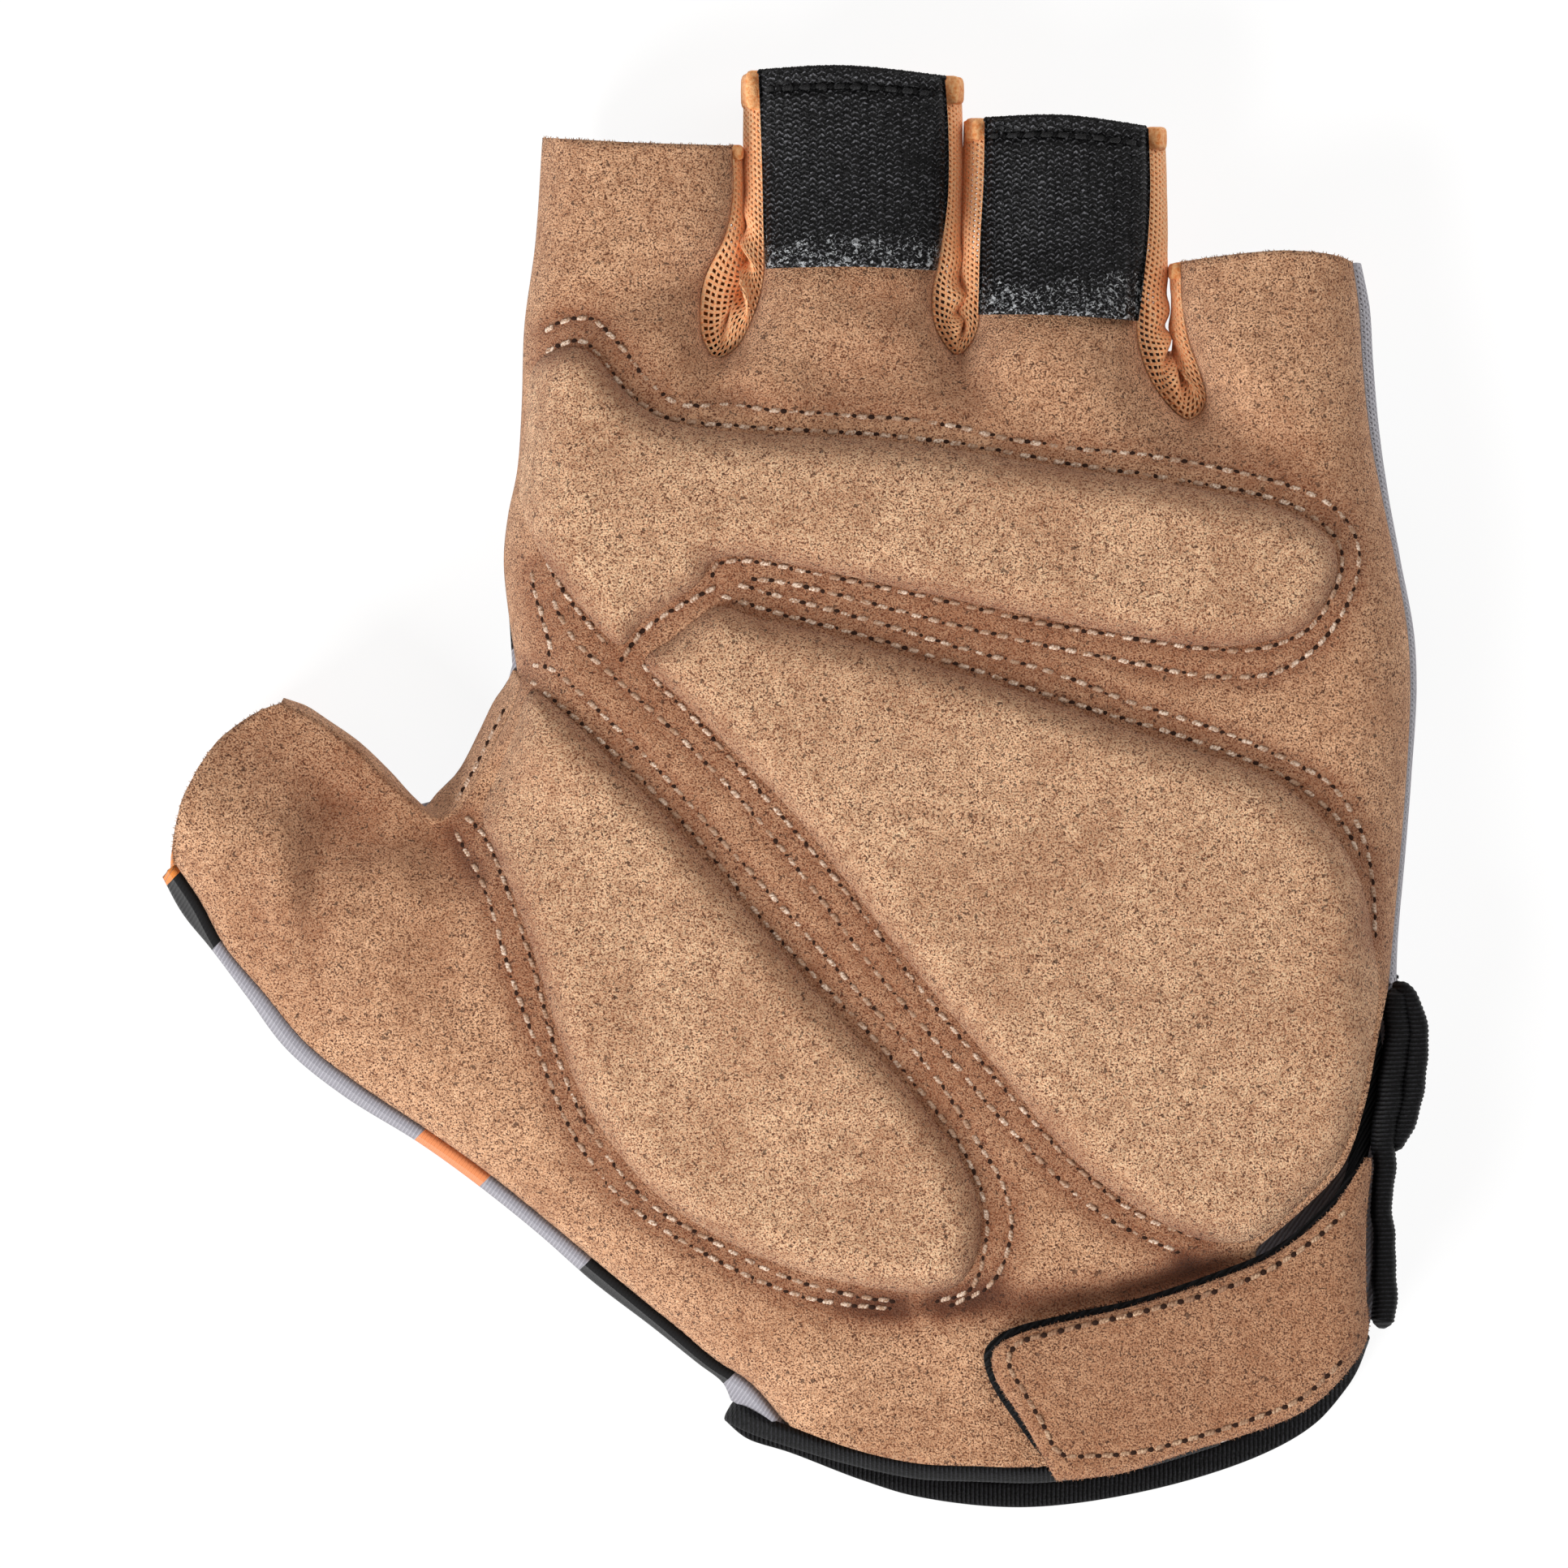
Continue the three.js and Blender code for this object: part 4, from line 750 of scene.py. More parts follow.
ulnarOutline = [
    (-16.8, 14.2), (-14.0, 16.4), (-11.6, 18.4), (-8.6, 20.2), (-4.6, 19.0), (1.7, 17.6), (10.7, 15.0),
    (22.4, 11.5), (36.8, 6.6), (46.7, 3.4), (53.5, 0.6), (58.3, -3.4), (61.2, -7.3), (63.0, -11.6),
    (64.0, -17.0), (64.6, -22.0), (63.9, -27.9), (62.5, -34.4), (60.1, -41.2), (55.8, -46.0), (50.7, -49.9),
    (46.2, -50.2), (42.4, -49.0), (36.5, -45.6), (31.1, -41.4), (26.7, -36.4), (20.3, -28.6), (13.3, -20.2),
    (6.0, -10.8), (0.3, -3.4), (-6.6, 3.8), (-12.6, 9.8)]
thenarOutline = [
    (-29.4, 10.9), (-26.4, 8.9), (-24.0, 6.7), (-19.0, 1.6), (-13.6, -3.9), (-8.6, -9.9), (-2.5, -16.9),
    (4.6, -25.3), (11.8, -32.5), (14.9, -36.4), (17.8, -40.2), (20.1, -45.7), (20.4, -49.3), (19.6, -52.6),
    (17.9, -54.9), (14.9, -55.9), (6.2, -54.9), (-1.9, -52.7), (-8.7, -49.6), (-15.2, -45.2), (-19.6, -40.5),
    (-24.0, -33.5), (-26.3, -27.3), (-28.5, -20.1), (-30.9, -12.8), (-33.4, -7.0), (-34.8, -2.8),
    (-33.2, 1.6), (-31.2, 6.4)]


def gelPad(name, outline, rise, node):
    s = padSettings

    def upper(pts, d):
        full = 1 - (1 - np.minimum(1, d / s["shoulder"])) ** s["power"]
        sway = s["sway"] * np.sin(pts[:, 0] * 0.21 + 1.3) * np.sin(pts[:, 1] * 0.17 + 0.4)
        return palmSurface(pts) + s["rim"] + (rise + sway - s["rim"]) * full

    def lower(pts, d):
        return palmSurface(pts) + 0.03

    pad = slab(name, outline, s["step"], upper, lower, padSuede, node)
    paintShadeInto(pad)


for place, outline in (("knuckle", knuckleOutline), ("ulnar", ulnarOutline), ("thenar", thenarOutline)):
    gelPad(place + "_gel_pad", outline, padSettings[place], place + "_pad")
reportStage("pads ready")


# Bands of cloth standing between the palm edge and the back edge
class Band:
    def __init__(self, rows, gapTop, gapLow, stand=None):
        self.roundness = 0.5 if stand else 0.7
        self.p, self.q = curveThrough(palmOf(rows)), curveThrough(backOf(rows))
        u = np.arange(len(self.p)) / curveSteps
        self.bulge = np.interp(u, np.arange(len(rows)), stand or [r[4] for r in rows])
        way = unit(unit(np.gradient(self.p, axis=0)) + unit(np.gradient(self.q, axis=0)))
        self.out = np.stack([-way[:, 1], way[:, 0]], axis=1)
        self.top = palm.rim(self.p) - gapTop
        self.low = back.rim(self.q) + gapLow
        self.along = lengthsAlong((self.p + self.q) / 2)
        drop = np.column_stack([self.p - self.q, self.top - self.low])
        self.length = self.along[-1]
        self.width = np.hypot(np.linalg.norm(drop, axis=1).mean(), 2 * self.bulge.mean())

    # v runs by length of cloth over the bulge, so the mesh isn't stretched
    def shareOf(self, v, bulge, drop, parts=32):
        table = np.linspace(0, 1, parts + 1)
        profile = np.sin(np.pi * table) ** self.roundness
        legs = np.hypot(np.outer(bulge, np.diff(profile)), np.outer(drop, np.diff(table)))
        run = np.concatenate([np.zeros((len(v), 1)), np.cumsum(legs, axis=1)], axis=1)
        want = np.clip(v, 0, 1) * run[:, -1]
        k = np.clip((run < want[:, None]).sum(axis=1) - 1, 0, parts - 1)
        rows = np.arange(len(v))
        return table[k] + (want - run[rows, k]) / np.maximum(legs[rows, k], 1e-9) / parts

    # Points at length s and share v of the way down; gathered cloth has folds and a pouch
    def at(self, s, v, folds=None, pouch=None):
        read = [np.interp(s, self.along, column) for column in
                (*self.p.T, *self.q.T, *self.out.T, self.bulge, self.top, self.low)]
        px, py, qx, qy, ox, oy, bulge, top, low = read
        v = self.shareOf(v, bulge, top - low)
        arch = np.sin(np.pi * np.clip(v, 0, 1))
        stand = bulge * arch ** self.roundness
        z = top + (low - top) * v
        if folds:
            stand = stand + folds(s, v) * arch
            z = z + pouch(s, v) * arch ** 0.8
        return np.column_stack([px + (qx - px) * v + ox * stand, py + (qy - py) * v + oy * stand, z])


def trimGrid(bm, length, width):
    for where, way in (((0, 0, 0), (-1, 0, 0)), ((length, 0, 0), (1, 0, 0)),
                       ((0, 0, 0), (0, -1, 0)), ((0, width, 0), (0, 1, 0))):
        bmesh.ops.bisect_plane(bm, geom=bm.verts[:] + bm.edges[:] + bm.faces[:], dist=1e-5,
                               plane_co=where, plane_no=way, clear_outer=True)


netSizes = {"along": 0.60, "across": 0.69, "hole": 0.135, "thickness": 0.26, "gaps": (0.1, -0.15), "spare": 8}


# Net: a leaning grid with a hole inset in every whole cell
def netBand(name, rows, folds, pouch, material, node, stand):
    size = netSizes
    band = Band(rows, *size["gaps"], stand)
    countA = int(band.length / size["along"]) + 2 * size["spare"]
    countC = int(band.width / size["across"] + 0.5)
    along, across = (countA - 0.5) * size["along"], band.width
    bm = bmesh.new()
    bmesh.ops.create_grid(bm, x_segments=countA, y_segments=countC, size=0.5)
    spare = size["spare"] * size["along"]
    for v in bm.verts:
        row = (v.co.y + 0.5) * countC
        lean = (row - countC / 2) * size["along"] / 2
        v.co = ((v.co.x + 0.5) * along - spare + lean, row / countC * across, 0)
    trimGrid(bm, band.length, band.width)
    bmesh.ops.dissolve_degenerate(bm, dist=1e-4, edges=bm.edges)
    cell = size["along"] * across / countC
    whole = [f for f in bm.faces if len(f.verts) == 4 and f.calc_area() > 0.9 * cell]
    bmesh.ops.inset_individual(bm, faces=whole, thickness=size["hole"], use_even_offset=True)
    bmesh.ops.delete(bm, geom=whole, context="FACES")
    flat = flatPoints(bm)
    setPoints(bm, band.at(flat[:, 0], flat[:, 1] / band.width, folds, pouch))
    area = band.length * band.width * mm * mm
    piece = openPiece(bm, name, material, [node])
    thicken(piece, size["thickness"])
    print(name, "length", round(band.length, 1), "width", round(band.width, 1), "area", round(area * 1e6))
    return piece, area


def plainBand(name, rows, gaps, thickness, material, node, step=0.8):
    band = Band(rows, *gaps)
    bm = bmesh.new()
    bmesh.ops.create_grid(bm, x_segments=max(2, int(band.length / step)),
                          y_segments=max(2, int(band.width / step)), size=0.5)
    flat = (flatPoints(bm) + 0.5) * (band.length, 1.0)
    setPoints(bm, band.at(flat[:, 0], flat[:, 1]))
    area = sum(f.calc_area() for f in bm.faces)
    piece = openPiece(bm, name, material, [node])
    thicken(piece, thickness)
    return piece, band, area


# Waves of the net where it is gathered, sideways and up and down
def crotchFolds(middle, reach, depth, pitch):
    def fold(s, v):
        near = np.exp(-((s - middle) / reach) ** 2)
        return depth * near * np.sin(2 * np.pi * (s - middle) / pitch + 1.2 * v)
    return fold


def crotchPouch(middle, reach, rise, depth, pitch):
    def lift(s, v):
        near = np.exp(-((s - middle) / reach) ** 2)
        return near * (rise + depth * np.sin(2 * np.pi * (s - middle) / pitch + 0.8 + 1.2 * v))
    return lift


# How far each net stands out at its stations, so that the two sides meet over the gap
netStand = {"index_middle": [1.4, 1.5, 2.4, 4.2, 3.8, 2.3, 1.0, 1.1, 1.2, 2.0, 2.3, 2.3, 2.0],
            "middle_ring": [2.1, 1.9, 1.9, 2.4, 2.9, 2.3, 0.8, 1.7, 2.4, 2.5, 2.6, 2.6],
            "ring_little": [2.2, 2.2, 2.5, 3.0, 2.8, 1.6, 0.8, 1.2, 2.0, 1.8, 1.2, 1.3]}
netSettings = [
    # name, rows, middle of the folds, reach, depth, pitch, rise of the pouch, node
    ("index_middle", webIndexMiddle, 25.0, 8.0, 0.7, 4.2, 4.2, "fourchette_index_middle"),
    ("middle_ring", webMiddleRing, 28.0, 7.0, 0.6, 4.6, 3.8, "fourchette_middle_ring"),
    ("ring_little", webRingLittle, 28.0, 8.0, 0.6, 4.4, 3.8, "fourchette_ring_little")]
nets = {}
for name, rows, middle, reach, depth, pitch, rise, node in netSettings:
    nets[name] = netBand("net_" + name, rows, crotchFolds(middle, reach, depth, pitch),
                         crotchPouch(middle, reach, rise, depth, pitch), orangeNet, node,
                         netStand[name])
sidePiece, sideArea = netBand("net_little_finger_side", ulnarSide, None, None, greyNet, "ulnar_side_mesh",
                              [1.5 * r[4] for r in ulnarSide])
crotchPiece, crotchBand, crotchArea = plainBand(
    "thumb_crotch_suede", thumbCrotch, (0.05, -0.1), 1.4, suede, "thumb_crotch_strip")
wrapRows = [(*r[:4], 0.4 * r[4]) for r in thumbWrap]
wrapPiece, wrapBand = plainBand(
    "back_fabric_thumb_side", wrapRows, (-0.1, -0.7), 1.1, stretch, "back_panel")[:2]
reportStage("bands ready", round(crotchBand.width, 1), round(wrapBand.width, 1))

# Rolled hems of the net at the finger openings
hemSettings = [
    # band, rows, at its start or end, width and depth of the roll, node
    ("index_middle", webIndexMiddle, "start", 1.5, 1.6, "fourchette_index_middle"),
    ("index_middle", webIndexMiddle, "end", 2.5, 4.2, "fourchette_index_middle"),
    ("middle_ring", webMiddleRing, "start", 2.6, 3.2, "fourchette_middle_ring"),
    ("middle_ring", webMiddleRing, "end", 2.4, 2.6, "fourchette_middle_ring"),
    ("ring_little", webRingLittle, "start", 2.5, 2.6, "fourchette_ring_little"),
    ("ring_little", webRingLittle, "end", 1.6, 1.8, "fourchette_ring_little")]


# A grid rolled into a closed tube; the section is a circle squared up a little
def tube(centre, wide, tall, around, squareness):
    bm = bmesh.new()
    bmesh.ops.create_grid(bm, x_segments=len(centre) - 1, y_segments=around, size=0.5)
    flat = flatPoints(bm) + 0.5
    i = np.rint(flat[:, 0] * (len(centre) - 1)).astype(int)
    a = 2 * np.pi * flat[:, 1]
    c, s = (np.sign(part) * np.abs(part) ** squareness for part in (np.cos(a), np.sin(a)))
    setPoints(bm, centre[i] + wide[i] * c[:, None] + tall[i] * s[:, None])
    bmesh.ops.remove_doubles(bm, verts=bm.verts, dist=1e-6)
    bmesh.ops.holes_fill(bm, edges=[e for e in bm.edges if e.is_boundary], sides=around + 2)
    return bm


hems = {}
for number, (name, rows, end, wide, deep, node) in enumerate(hemSettings):
    band = Band(rows, *netSizes["gaps"], netStand[name])
    s = deep / 2 - 0.15 if end == "start" else band.length - deep / 2 + 0.15
    share = np.linspace(0, 1, 30)
    path = band.at(np.full(30, s), 0.05 + 0.9 * share)
    inner = band.at(np.full(30, s), np.zeros(30))
    path[:, :2] = 0.45 * inner[:, :2] + 0.55 * path[:, :2]
    path[:, 2] += 0.5
    wobble = 1 + 0.07 * np.sin(share * 17 + number) + 0.06 * np.sin(share * 31)
    close = np.sqrt(np.clip(1 - (2 * share - 1) ** 20, 0.03, 1)) * (1 - 0.3 * share)
    way = unit(np.gradient(path, axis=0))
    side = unit(np.cross(way, np.array([(0.0, 1.0, 0.02)])))
    roll = (wobble * close)[:, None] / 2
    bm = tube(path, side * wide * roll, np.cross(way, side) * deep * roll, 18, 0.45)
    hems.setdefault(name, []).append(closedPiece(bm, f"net_hem_{number + 1}", orangeHem, [node]))
reportStage("hems ready")

# Black pull tabs over the middle and ring fingers
tabMiddleOutline = [
    (-4.2, 79.6), (-4.2, 79.6), (5.3, 80.0), (16.5, 78.9), (16.5, 78.9), (16.9, 73.0), (16.8, 65.0),
    (15.6, 57.5), (15.6, 57.5), (6.0, 57.9), (-3.4, 57.7), (-3.4, 57.7), (-3.6, 61.0), (-3.8, 69.5)]
tabRingOutline = [
    (20.9, 74.3), (20.9, 74.3), (29.6, 74.5), (39.1, 73.3), (39.1, 73.3), (39.3, 66.8), (39.0, 60.5),
    (38.0, 51.9), (38.0, 51.9), (29.0, 52.5), (20.2, 52.6), (20.2, 52.6), (20.4, 60.5), (20.8, 67.7)]
tabRows = {"pull_tab_middle": [(-3.8, 77.6), (5.3, 77.9), (16.4, 77.0)],
           "pull_tab_ring": [(21.1, 72.4), (29.6, 72.5), (38.9, 71.5)]}


def pullTab(name, outline, freeY, node, material):
    s = tabSettings
    rowLine = smoothLine(tabRows[node], 0.5)

    def raised(pts):
        return palm.height(pts) + s["above"] + s["lift"] * (1 - smooth(freeY, freeY + 12, pts[:, 1])) ** 2

    def upper(pts, d):
        x, y = pts[:, 0], pts[:, 1]
        column = np.round(x / s["wale"])
        across = np.abs(x / s["wale"] - column) * 2
        loops = np.sin(2 * np.pi * (y / s["loop"] + s["slant"] * across + 0.5 * (column % 2)))
        weave = s["loopDepth"] * loops - s["grooveDepth"] * across ** 4
        depth, width = s["row"]
        sewn = depth * np.exp(-(nearestOn([rowLine], pts)[0] / width) ** 2)
        edge = 0.72 + 0.28 * smooth(0, 0.5, d)
        return raised(pts) + s["thickness"] * edge + weave * smooth(0, 0.3, d) - sewn

    def lower(pts, d):
        return raised(pts) + 0.02

    return slab(name, outline, s["step"], upper, lower, material, node)


tabMiddle = pullTab("tab_middle_finger", tabMiddleOutline, 57.6, "pull_tab_middle",
                    tapeFinish("tape_middle", 63.8))
tabRing = pullTab("tab_ring_finger", tabRingOutline, 52.3, "pull_tab_ring", tapeFinish("tape_ring", 58.6))
reportStage("tabs ready")

# Wrist strap, its hook layer and the gusset in the slit
strapSettings = {"step": 0.55, "thickness": 1.8, "hook": 1.2, "above": 0.3, "row": (0.22, 0.7),
                 "turnFrom": 59, "turn": 0.11}
strapOutline = [
    (24.2, -60.6), (37.7, -57.2), (46.7, -54.3), (53.0, -51.6), (59.3, -46.6), (63.6, -40.8), (63.2, -47.5),
    (63.2, -55.6), (63.3, -61.0), (59.3, -66.6), (55.7, -69.3), (50.3, -71.4), (43.1, -73.6), (35.9, -75.9),
    (28.8, -76.7), (28.8, -76.7), (25.1, -70.0), (21.9, -64.8), (21.9, -62.2)]
hookOutline = [
    (23.2, -60.1), (30.0, -58.2), (37.7, -56.5), (46.7, -53.5), (53.0, -50.8), (58.8, -46.0), (62.6, -41.6),
    (62.4, -47.5), (62.4, -55.6), (62.0, -60.4), (58.0, -65.6), (50.0, -69.8), (42.8, -72.2), (35.6, -74.2),
    (29.0, -75.2), (24.4, -70.2), (21.2, -65.0), (20.9, -62.2)]
gussetOutline = [
    (64.4, -24.6), (65.0, -28.6), (64.9, -34.0), (63.4, -41.0), (62.7, -46.0), (62.4, -52.0), (61.8, -59.0),
    (52.4, -59.6), (52.0, -52.4), (55.4, -49.4), (60.6, -43.6), (61.8, -36.0), (62.9, -29.0)]
strapLine = smoothLine(strapRow, 0.6)


# The strap's sewn end turns down over the edge of the hand
def strapTurn(pts):
    return strapSettings["turn"] * np.maximum(0, pts[:, 0] - strapSettings["turnFrom"]) ** 2


def hookTop(pts, d=None):
    return palmCrown(pts) + strapSettings["above"] + strapSettings["hook"] - strapTurn(pts)


def strapTop(pts, d):
    s = strapSettings
    depth, width = s["row"]
    sewn = depth * np.exp(-(nearestOn([strapLine], pts)[0] / width) ** 2)
    return hookTop(pts) + s["above"] + s["thickness"] * (0.62 + 0.38 * smooth(0, 1.1, d)) - sewn


def gussetTop(pts, d=None):
    return palmCrown(pts) - 2.3 - 0.3 * np.maximum(0, pts[:, 0] - 60)


hookPiece = slab("strap_hook_layer", hookOutline, 0.8, hookTop, lambda pts, d: hookTop(pts) - 1.15,
                 hookBlack, "strap_hook_backing")
strapPiece = slab("wrist_strap_suede", strapOutline, strapSettings["step"], strapTop,
                  lambda pts, d: hookTop(pts) + 0.1, strapSuede, "wrist_strap")
gussetPiece = slab("slit_gusset_fabric", gussetOutline, 0.9, gussetTop, lambda pts, d: gussetTop(pts) - 1.0,
                   gussetBlack, "slit_gusset")
reportStage("strap ready")

# Ribbed edgings of the wrist slit and the wrist opening
edgingSettings = {"pitch": 0.5, "ribs": 0.10, "ribRoom": 0.93, "cuffWidth": 2.9, "cuffThickness": 1.3}
slitRows = [
    # x, y, z, tall, wide
    (66.6, -22.0, 13.6, 3.4, 2.2), (66.7, -25.6, 14.4, 4.8, 2.9), (66.3, -30.0, 14.8, 6.0, 3.0),
    (65.7, -34.0, 15.2, 6.4, 3.0), (65.3, -37.4, 15.4, 6.4, 2.9), (65.3, -41.4, 15.6, 6.2, 2.6),
    (65.0, -45.6, 15.4, 6.0, 2.4), (65.1, -50.4, 15.2, 5.9, 2.5), (65.4, -55.2, 14.8, 5.8, 2.9),
    (65.0, -59.9, 14.4, 5.6, 2.6)]
foldRows = [
    (66.4, -21.4, 13.4, 2.4, 1.6), (67.9, -23.0, 13.6, 3.6, 2.4), (68.6, -26.4, 13.8, 4.8, 2.9),
    (68.6, -30.0, 14.0, 5.4, 3.1), (68.0, -34.0, 14.4, 5.6, 3.0), (67.4, -37.4, 14.8, 5.4, 2.8),
    (66.0, -40.2, 15.2, 5.0, 1.8)]
cuffRows = [
    # x, y, z, direction outwards, dip, in degrees
    (47.5, -71.6, 16.4, -84, 60), (38.0, -74.4, 16.9, -86, 60), (27.8, -75.9, 17.1, -90, 60),
    (19.7, -75.8, 17.0, -92, 60), (13.4, -75.5, 16.7, -94, 60), (6.2, -74.0, 16.0, -100, 60),
    (0.8, -72.4, 14.8, -108, 56), (-3.6, -70.9, 12.2, -114, 46), (-6.4, -69.6, 8.8, -118, 30),
    (-6.9, -69.3, 5.6, -120, 15), (-4.8, -71.0, 3.0, -112, 5), (-0.2, -72.5, 1.5, -108, 0),
    (7.6, -75.5, 1.2, -106, 0), (14.0, -77.4, 1.2, -100, 0), (25.6, -78.5, 1.2, -90, 0),
    (39.6, -76.5, 1.3, -76, 0), (51.4, -72.7, 1.4, -68, 0), (57.0, -69.4, 1.4, -56, 0),
    (60.3, -65.6, 2.0, -42, 20), (62.2, -62.8, 3.9, -32, 55), (63.2, -61.3, 7.2, -28, 78),
    (63.5, -60.6, 10.8, -28, 88)]


def stations(rows, step):
    dense = curveThrough([r[:3] for r in rows])
    lengths = lengthsAlong(dense)
    at = np.linspace(0, lengths[-1], int(lengths[-1] / step) + 1)
    centre = pointsAt(dense, lengths, at)
    share = np.interp(at, lengths, np.arange(len(dense)) / curveSteps)
    rest = [np.interp(share, np.arange(len(rows)), [r[k] for r in rows]) for k in (3, 4)]
    return at, centre, unit(np.gradient(centre, axis=0)), rest


def ribbedEdging(name, at, centre, wide, thick, around, material, node):
    s = edgingSettings
    ends = np.minimum(1, np.sqrt(np.minimum(at, at[-1] - at) + 0.05))[:, None]
    ribs = 1 + s["ribs"] * np.abs(np.sin(np.pi * at / s["pitch"]))[:, None]
    bm = tube(centre, wide * ends, thick * ribs * ends, around, 0.6)
    return closedPiece(bm, name, material, [node])


for name, rows, sway in (("slit_edging", slitRows, 0.12), ("slit_edging_fold", foldRows, 0.10)):
    at, centre, way, (tall, wideness) = stations(rows, 0.12)
    side = unit(np.column_stack([way[:, 1], -way[:, 0], np.zeros(len(at))]))
    wrinkle = sway * (np.sin(at * 0.83) + 0.7 * np.sin(at * 0.37 + 1) + 0.4 * np.sin(at * 1.71 + 2))
    up = np.array([(0, 0, 1)])
    ribbedEdging(
        name, at, centre + side * wrinkle[:, None], up * (tall / 2)[:, None],
        side * (wideness / 2)[:, None] * edgingSettings["ribRoom"], 26, slitBlack, "slit_binding")

at, centre, way, (out, dip) = stations(cuffRows, 0.13)
out, dip = np.radians(out), np.radians(dip)
wide = np.column_stack([np.cos(out) * np.cos(dip), np.sin(out) * np.cos(dip), -np.sin(dip)])
thick = unit(np.cross(way, wide))
taper = (0.62 + 0.38 * smooth(0, 9, at[-1] - at))[:, None]
cuffPiece = ribbedEdging(
    "cuff_edging", at, centre, wide * edgingSettings["cuffWidth"] / 2 * taper,
    thick * edgingSettings["cuffThickness"] / 2 * edgingSettings["ribRoom"] * taper, 18, bindingBlack,
    "cuff_binding")
reportStage("edgings ready")

# Stitches: small beads of thread, with a dark disc between them as the painted shade of each needle hole
stitchSettings = {"pitch": 1.95, "lobes": 3, "lobeStep": 0.32, "length": 0.70, "width": 0.50, "turn": 42.0,
                  "hole": 0.38, "lift": 0.10}
dice = random.Random(11)


def ellipsoid(bm, place, sizes, segments, rings):
    shape = Matrix.Diagonal((sizes[0] / 2, sizes[1] / 2, sizes[2] / 2, 1))
    bmesh.ops.create_uvsphere(bm, u_segments=segments, v_segments=rings, radius=1.0,
                              matrix=place @ shape @ Matrix.Rotation(math.pi / 2, 4, "Y"))


def template(name, make):
    bm = bmesh.new()
    make(bm)
    mesh = bpy.data.meshes.new(name)
    bm.to_mesh(mesh)
    bm.free()
    return mesh


def twistedStitch(bm):
    s = stitchSettings
    for lobe in range(s["lobes"]):
        along = (lobe - (s["lobes"] - 1) / 2) * s["lobeStep"]
        place = Matrix.Translation((along, 0, s["lift"] - 0.10 * abs(along)))
        ellipsoid(bm, place @ Matrix.Rotation(math.radians(s["turn"]), 4, "Z"),
                  (s["length"], s["width"], s["width"]), 6, 5)


# A flat dark disc, painted shade inside a needle hole
def needleHole(bm):
    hole = stitchSettings["hole"]
    ellipsoid(bm, Matrix.Identity(4), (hole * 2, hole * 1.7, 0.24), 8, 4)


stitchMesh, holeMesh = template("stitch", twistedStitch), template("hole", needleHole)


def stamp(bm, mesh, place):
    bm.from_mesh(mesh)
    bm.verts.ensure_lookup_table()
    for v in bm.verts[-len(mesh.vertices):]:
        v.co = place @ v.co


def sewRow(beads, holes, line, heightAt, pitch=None):
    pitch = pitch or stitchSettings["pitch"]
    lengths = lengthsAlong(line)
    fine = np.linspace(0, lengths[-1], int(lengths[-1] / 0.1) + 2)
    xy = pointsAt(line, lengths, fine)
    xyz = np.column_stack([xy, heightAt(xy)])

    def spot(v):
        return Vector([np.interp(v, fine, column) for column in xyz.T])

    for k in range(max(1, int(lengths[-1] / pitch))):
        middle = (k + 0.5) * pitch + dice.uniform(-0.08, 0.08)
        way = (spot(middle + 0.7) - spot(middle - 0.7)).normalized()
        turn = way.to_track_quat("X", "Z").to_matrix().to_4x4()
        sway = Matrix.Rotation(math.radians(dice.uniform(-6, 6)), 4, "Z")
        sunk = Matrix.Translation((0, 0, dice.uniform(-0.14, 0.10)))
        stamp(beads, stitchMesh, Matrix.Scale(mm, 4) @ Matrix.Translation(spot(middle)) @ turn @ sunk @ sway)
        stamp(holes, holeMesh, Matrix.Scale(mm, 4) @ Matrix.Translation(spot((k + 1) * pitch)) @ turn)


palmBeads, palmHoles = bmesh.new(), bmesh.new()
for line in rowLines:
    sewRow(palmBeads, palmHoles, line, palmSurface)
# This row lies on the strip of the thumb web, between its seventh and tenth stations
crotchFrom, crotchTo = (crotchBand.along[station * curveSteps] for station in (7, 10))
crotchLine = crotchBand.at(np.linspace(crotchFrom, crotchTo, 40), np.full(40, 0.2))
sewRow(palmBeads, palmHoles, crotchLine[:, :2],
       lambda pts: np.interp(pts[:, 1], crotchLine[:, 1], crotchLine[:, 2]))
palmSewing = [closedPiece(palmBeads, "palm_stitches", thread, ["palm_panel"]),
              closedPiece(palmHoles, "palm_needle_holes", needle, ["palm_panel"])]
for node, row in tabRows.items():
    beads, holes = bmesh.new(), bmesh.new()
    sewRow(beads, holes, smoothLine(row, 0.5), lambda pts: palm.height(pts) + 1.5, 1.9)
    edge = tabMiddleOutline[1:4] if "middle" in node else tabRingOutline[1:4]
    sewRow(beads, holes, smoothLine(edge, 0.5), lambda pts: palm.height(pts) + 0.8, 0.94)
    closedPiece(beads, node[5:] + "_stitches", blackThread, [node])
    closedPiece(holes, node[5:] + "_needle_holes", gussetBlack, [node])
strapBeads, strapHoles = bmesh.new(), bmesh.new()
sewRow(strapBeads, strapHoles, strapLine, lambda pts: strapTop(pts, np.full(len(pts), 9.0)))
strapSewing = [closedPiece(strapBeads, "strap_stitches", strapThread, ["wrist_strap"]),
               closedPiece(strapHoles, "strap_needle_holes", needle, ["wrist_strap"])]
reportStage("stitches ready")

# Loose nap along the cut edges of the suede
fringeSettings = {"perMillimetre": 6, "length": (0.12, 0.42), "radius": 0.08}


def napHair(bm):
    r = fringeSettings["radius"]
    bmesh.ops.create_cone(bm, cap_ends=True, segments=3, radius1=r, radius2=r * 0.2, depth=1.0,
                          matrix=Matrix.Translation((0, 0, 0.5)))


hairMesh = template("hair", napHair)


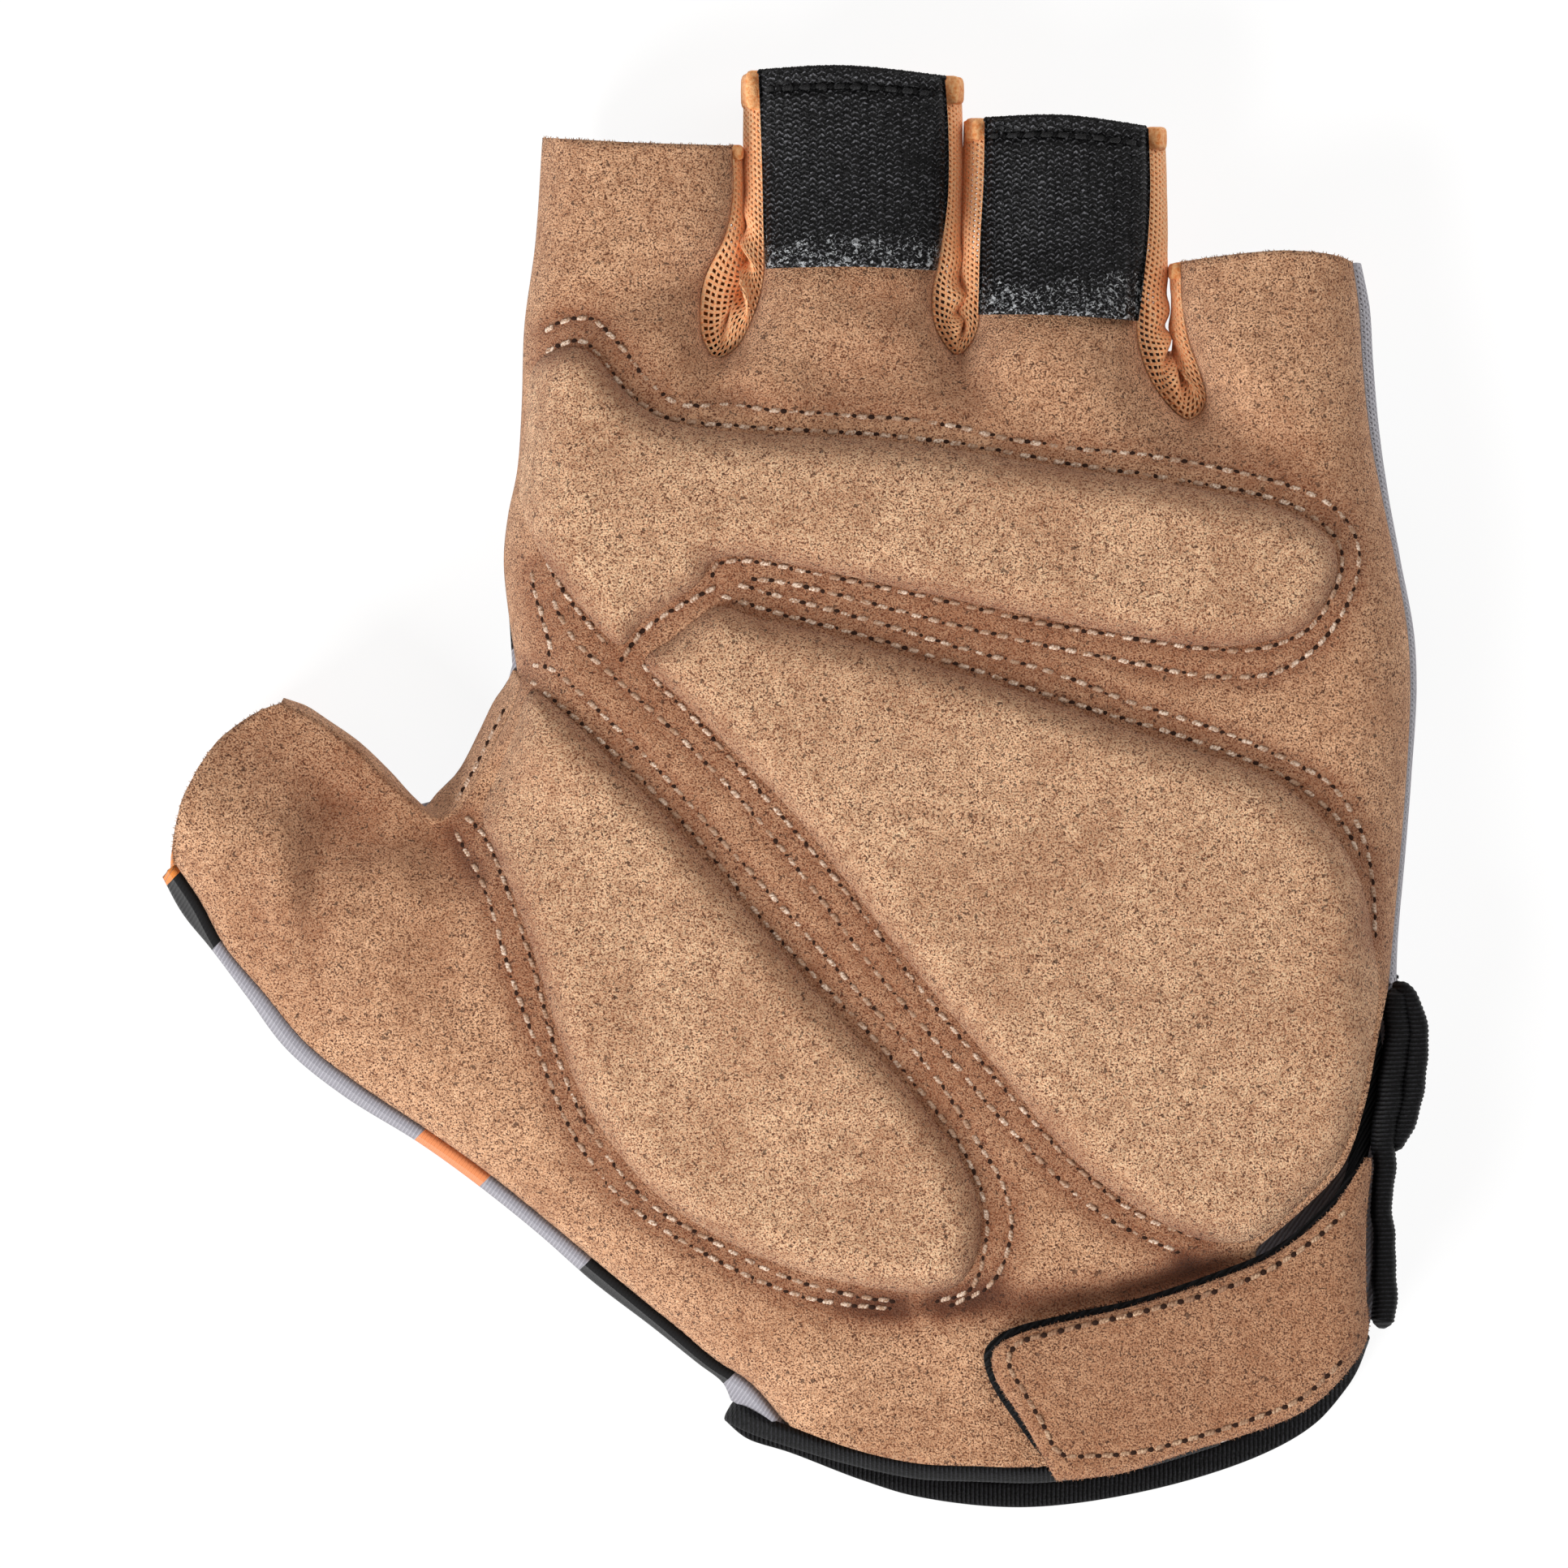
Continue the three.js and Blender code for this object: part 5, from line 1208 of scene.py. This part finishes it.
def fringe(bm, line, heightAt, outward, thickness, placeAt=lambda pts: pts):
    lengths = lengthsAlong(line)
    count = int(lengths[-1] * fringeSettings["perMillimetre"])
    at = np.array([dice.uniform(0, lengths[-1]) for k in range(count)])
    ahead, behind = (placeAt(pointsAt(line, lengths, at + step)) for step in (0.2, -0.2))
    xy = pointsAt(line, lengths, at)
    z, xy = heightAt(xy), placeAt(xy)
    for k in range(count):
        way = Vector((*(ahead[k] - behind[k]), 0)).normalized()
        out = Vector((way.y, -way.x, 0)) * outward
        aim = out + way * dice.uniform(-0.7, 0.7) + Vector((0, 0, dice.uniform(-0.5, 0.6)))
        turn = aim.to_track_quat("Z", "Y").to_matrix().to_4x4()
        long = dice.uniform(*fringeSettings["length"])
        root = Vector((*xy[k], z[k] - dice.uniform(0.1, thickness))) - out * 0.12
        stamp(bm, hairMesh, Matrix.Scale(mm, 4) @ Matrix.Translation(root) @ turn
              @ Matrix.Diagonal((1, 1, long, 1)))


# The openings of the index finger, the little finger and the thumb are raw edges
palmHair, strapHair = bmesh.new(), bmesh.new()
for kind, points in (palmRuns[0], palmRuns[6], palmRuns[12]):
    fringe(palmHair, smoothLine(points, 0.4), palmSurface, -1, 1.2, palm.place)
fringe(palmHair, smoothLine(palmOf(thumbCrotch), 0.4), palmSurface, -1, 0.4, palm.place)
palmNap = closedPiece(palmHair, "palm_edge_nap", suede, ["palm_panel"])
strapEdge = smoothLine(strapOutline, 0.4, closed=True)
fringe(strapHair, strapEdge, lambda pts: strapTop(pts, np.zeros(len(pts))), -1, 1.0)
strapNap = closedPiece(strapHair, "strap_edge_nap", strapSuede, ["wrist_strap"])
hookHair = bmesh.new()
for points in ([(21.2, -62.0), (21.6, -65.0), (24.6, -70.2), (28.6, -75.4)],
               [(22.4, -60.4), (30.0, -58.2), (37.7, -56.5)]):
    fringe(hookHair, smoothLine(points, 0.4), lambda pts: hookTop(pts) + 0.2, 1, 0.6)
hookNap = closedPiece(hookHair, "hook_layer_strands", hookBlack, ["strap_hook_backing"])
reportStage("nap ready")


def cutSize(piece, flat, area):
    if not isinstance(area, float):
        area = loopArea(smoothLine(area, 0.5, closed=True))  # given as an outline
    full = flat[0] * flat[1]
    print(piece.name, "cut", flat, "area", round(area, 6), "of", round(full, 6))
    min(area, full)


cutSize(palmPiece, palmSettings["flat"], palmArea)
cutSize(backPiece, backSettings["flat"], backArea)
cutSize(crotchPiece, (0.0105, 0.048), crotchArea)
netCuts = {"index_middle": (0.0115, 0.051), "middle_ring": (0.0110, 0.057), "ring_little": (0.0110, 0.047)}
for name, flat in netCuts.items():
    cutSize(nets[name][0], flat, nets[name][1])
cutSize(sidePiece, (0.0100, 0.082), sideArea)
cutSize(tabMiddle, (0.0215, 0.0225), tabMiddleOutline)
cutSize(tabRing, (0.0195, 0.0225), tabRingOutline)
cutSize(hookPiece, (0.0430, 0.0360), hookOutline)
cutSize(strapPiece, (0.0440, 0.0380), strapOutline)
cutSize(gussetPiece, (0.0150, 0.0360), gussetOutline)

# Floor, lights and world
studioSettings = {
    "floor": {"Base Color": (0.15, 0.15, 0.15, 1), "Emission Color": (1, 1, 1, 1), "Emission Strength": 0.88},
    "floorDrop": 0.0002, "aim": (0, 0, 0.01),
    "lights": {"key": ((-1.65, -1.76, 1.70), 1.30, 94.0), "fill": ((0.9, 0.8, 1.2), 1.0, 8.5)},
    "world": {"Color": (1.0, 0.955, 0.91, 1), "Strength": 0.34}}
floorMesh = template("floor", lambda bm: bmesh.ops.create_grid(bm, x_segments=1, y_segments=1, size=3.0))
floor = bpy.data.objects.new("floor", floorMesh)
bpy.context.collection.objects.link(floor)
whiteFloor = Finish("floor_white", 1.0, specular=0.5)
whiteFloor.fill(whiteFloor.shader, studioSettings["floor"])
floorMesh.materials.append(whiteFloor.material)
floor.location = (0, 0, -studioSettings["floorDrop"])
for name, (place, size, power) in studioSettings["lights"].items():
    data = bpy.data.lights.new(name, "AREA")
    data.size = size
    data.energy = power
    lamp = bpy.data.objects.new(name, data)
    lamp.location = place
    lamp.rotation_euler = (Vector(studioSettings["aim"]) - Vector(place)).to_track_quat("-Z", "Y").to_euler()
    bpy.context.collection.objects.link(lamp)
world = bpy.data.worlds.new("world")
world.use_nodes = True
for name, value in studioSettings["world"].items():
    world.node_tree.nodes["Background"].inputs[name].default_value = value
bpy.context.scene.world = world
